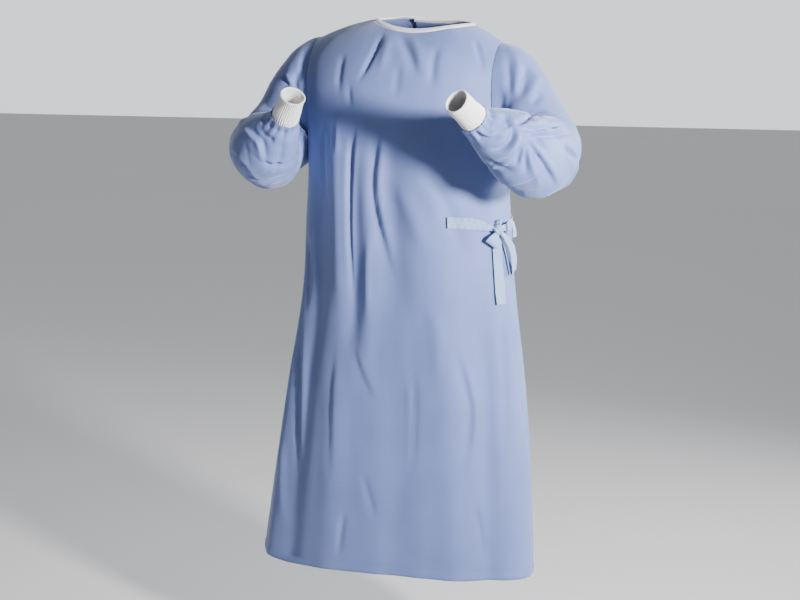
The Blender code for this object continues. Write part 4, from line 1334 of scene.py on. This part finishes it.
def area_light(name, place, aim, power, size, colour, spread):
    bpy.ops.object.light_add(type="AREA", location=place)
    lamp = bpy.context.active_object
    lamp.name = name
    lamp.data.energy = power
    lamp.data.shape = "DISK"
    lamp.data.size = size
    lamp.data.color = colour
    lamp.data.spread = math.radians(spread)
    lamp.rotation_euler = (Vector(aim) - Vector(place)).to_track_quat("-Z", "Y").to_euler()


def make_surround():
    """Pale light from all round, brighter from behind the gown than from its front."""
    world = bpy.data.worlds.new("studio")
    bpy.context.scene.world = world
    world.use_nodes = True
    nodes, links = world.node_tree.nodes, world.node_tree.links
    background = nodes["Background"]
    background.inputs["Color"].default_value = (0.93, 0.96, 1.0, 1)
    place = nodes.new("ShaderNodeTexCoord")
    parts = nodes.new("ShaderNodeSeparateXYZ")
    links.new(place.outputs["Generated"], parts.inputs[0])
    span = nodes.new("ShaderNodeMapRange")
    span.interpolation_type = "SMOOTHSTEP"
    for name, value in (("From Min", -0.2), ("From Max", 0.9), ("To Min", 0.12), ("To Max", 1.35)):
        span.inputs[name].default_value = value
    links.new(parts.outputs["Y"], span.inputs["Value"])
    links.new(span.outputs[0], background.inputs["Strength"])


def make_stage():
    bpy.ops.mesh.primitive_plane_add(size=FLOOR_SIZE, location=(0, 0, FLOOR_HEIGHT))
    floor = bpy.context.active_object
    floor.name = "floor"
    floor.data.materials.append(floor_material(tuple(colours().floor)))
    for light in LIGHTS:
        area_light(*light)
    make_surround()
    bpy.ops.object.camera_add()
    camera = bpy.context.active_object
    camera.name = "photo_camera"
    back = camera_axes()[2]
    camera.location = CAMERA_TARGET + back * CAMERA_DISTANCE
    camera.rotation_euler = back.to_track_quat("Z", "Y").to_euler()
    camera.data.sensor_width = SENSOR_WIDTH
    camera.data.lens = FOCAL_PIXELS * SENSOR_WIDTH / FRAME_WIDTH
    bpy.context.scene.camera = camera


# Operators


class GOWN_OT_front_panel(bpy.types.Operator):
    """Hang the front panel with its folds and hem"""
    bl_idname = "gown.front_panel"
    bl_label = "Front Panel"

    def execute(self, context):
        make_front_panel()
        return {"FINISHED"}


class GOWN_OT_back_panels(bpy.types.Operator):
    """Hang the two back panels, the right one lapped over the left"""
    bl_idname = "gown.back_panels"
    bl_label = "Back Panels"

    def execute(self, context):
        make_back_panel("back_cloth_left", "under", LEFT_SEAM_BACK, 360.0, "back_panel_left")
        make_back_panel("back_cloth_right", "outer", RIGHT_SEAM_BACK, 180.0, "back_panel_right")
        return {"FINISHED"}


class GOWN_OT_sleeves(bpy.types.Operator):
    """Fit both sleeves to their armholes and crease them at the elbows"""
    bl_idname = "gown.sleeves"
    bl_label = "Sleeves"

    def execute(self, context):
        make_sleeve("left", LEFT_SLEEVE_CREASES)
        make_sleeve("right", RIGHT_SLEEVE_CREASES)
        return {"FINISHED"}


class GOWN_OT_cuffs(bpy.types.Operator):
    """Knit both ribbed cuffs"""
    bl_idname = "gown.cuffs"
    bl_label = "Cuffs"

    def execute(self, context):
        make_cuff("left")
        make_cuff("right")
        return {"FINISHED"}


class GOWN_OT_neck_binding(bpy.types.Operator):
    """Fold the binding over the neckline"""
    bl_idname = "gown.neck_binding"
    bl_label = "Neck Binding"

    def execute(self, context):
        make_binding()
        return {"FINISHED"}


class GOWN_OT_waist_tie(bpy.types.Operator):
    """Lay the waist ties and tie their bow"""
    bl_idname = "gown.waist_tie"
    bl_label = "Waist Tie"

    def execute(self, context):
        panels = panel_tree()
        for name, values in TIE_STRIPS.items():
            make_strip(name, panels, **values)
        make_knot(panels)
        make_tie_stitches(panels)
        return {"FINISHED"}


class GOWN_OT_stage(bpy.types.Operator):
    """Set the floor, the lights and the camera"""
    bl_idname = "gown.stage"
    bl_label = "Stage"

    def execute(self, context):
        make_stage()
        return {"FINISHED"}


class GOWN_PT_panel(bpy.types.Panel):
    """Lists the gown's sizes, colours and pieces"""
    bl_idname = "GOWN_PT_panel"
    bl_label = "Surgical Gown"
    bl_space_type = "VIEW_3D"
    bl_region_type = "UI"
    bl_category = "Gown"

    def draw(self, context):
        layout = self.layout
        for group in (context.scene.gown_sizes, context.scene.gown_colours):
            for name in group.bl_rna.properties.keys():
                if name not in ("rna_type", "name"):
                    layout.prop(group, name)
        for operator in OPERATORS:
            layout.operator(operator.bl_idname)


OPERATORS = (GOWN_OT_front_panel, GOWN_OT_back_panels, GOWN_OT_sleeves, GOWN_OT_cuffs,
             GOWN_OT_neck_binding, GOWN_OT_waist_tie, GOWN_OT_stage)
CLASSES = (GownSizes, GownColours, *OPERATORS, GOWN_PT_panel)


def register():
    for each in CLASSES:
        bpy.utils.register_class(each)
    bpy.types.Scene.gown_sizes = bpy.props.PointerProperty(type=GownSizes)
    bpy.types.Scene.gown_colours = bpy.props.PointerProperty(type=GownColours)


def unregister():
    del bpy.types.Scene.gown_colours
    del bpy.types.Scene.gown_sizes
    for each in reversed(CLASSES):
        bpy.utils.unregister_class(each)


def main():
    register()
    bpy.ops.gown.front_panel()
    bpy.ops.gown.back_panels()
    bpy.ops.gown.sleeves()
    bpy.ops.gown.cuffs()
    bpy.ops.gown.neck_binding()
    bpy.ops.gown.waist_tie()
    bpy.ops.gown.stage()


if __name__ == "__main__":
    main()
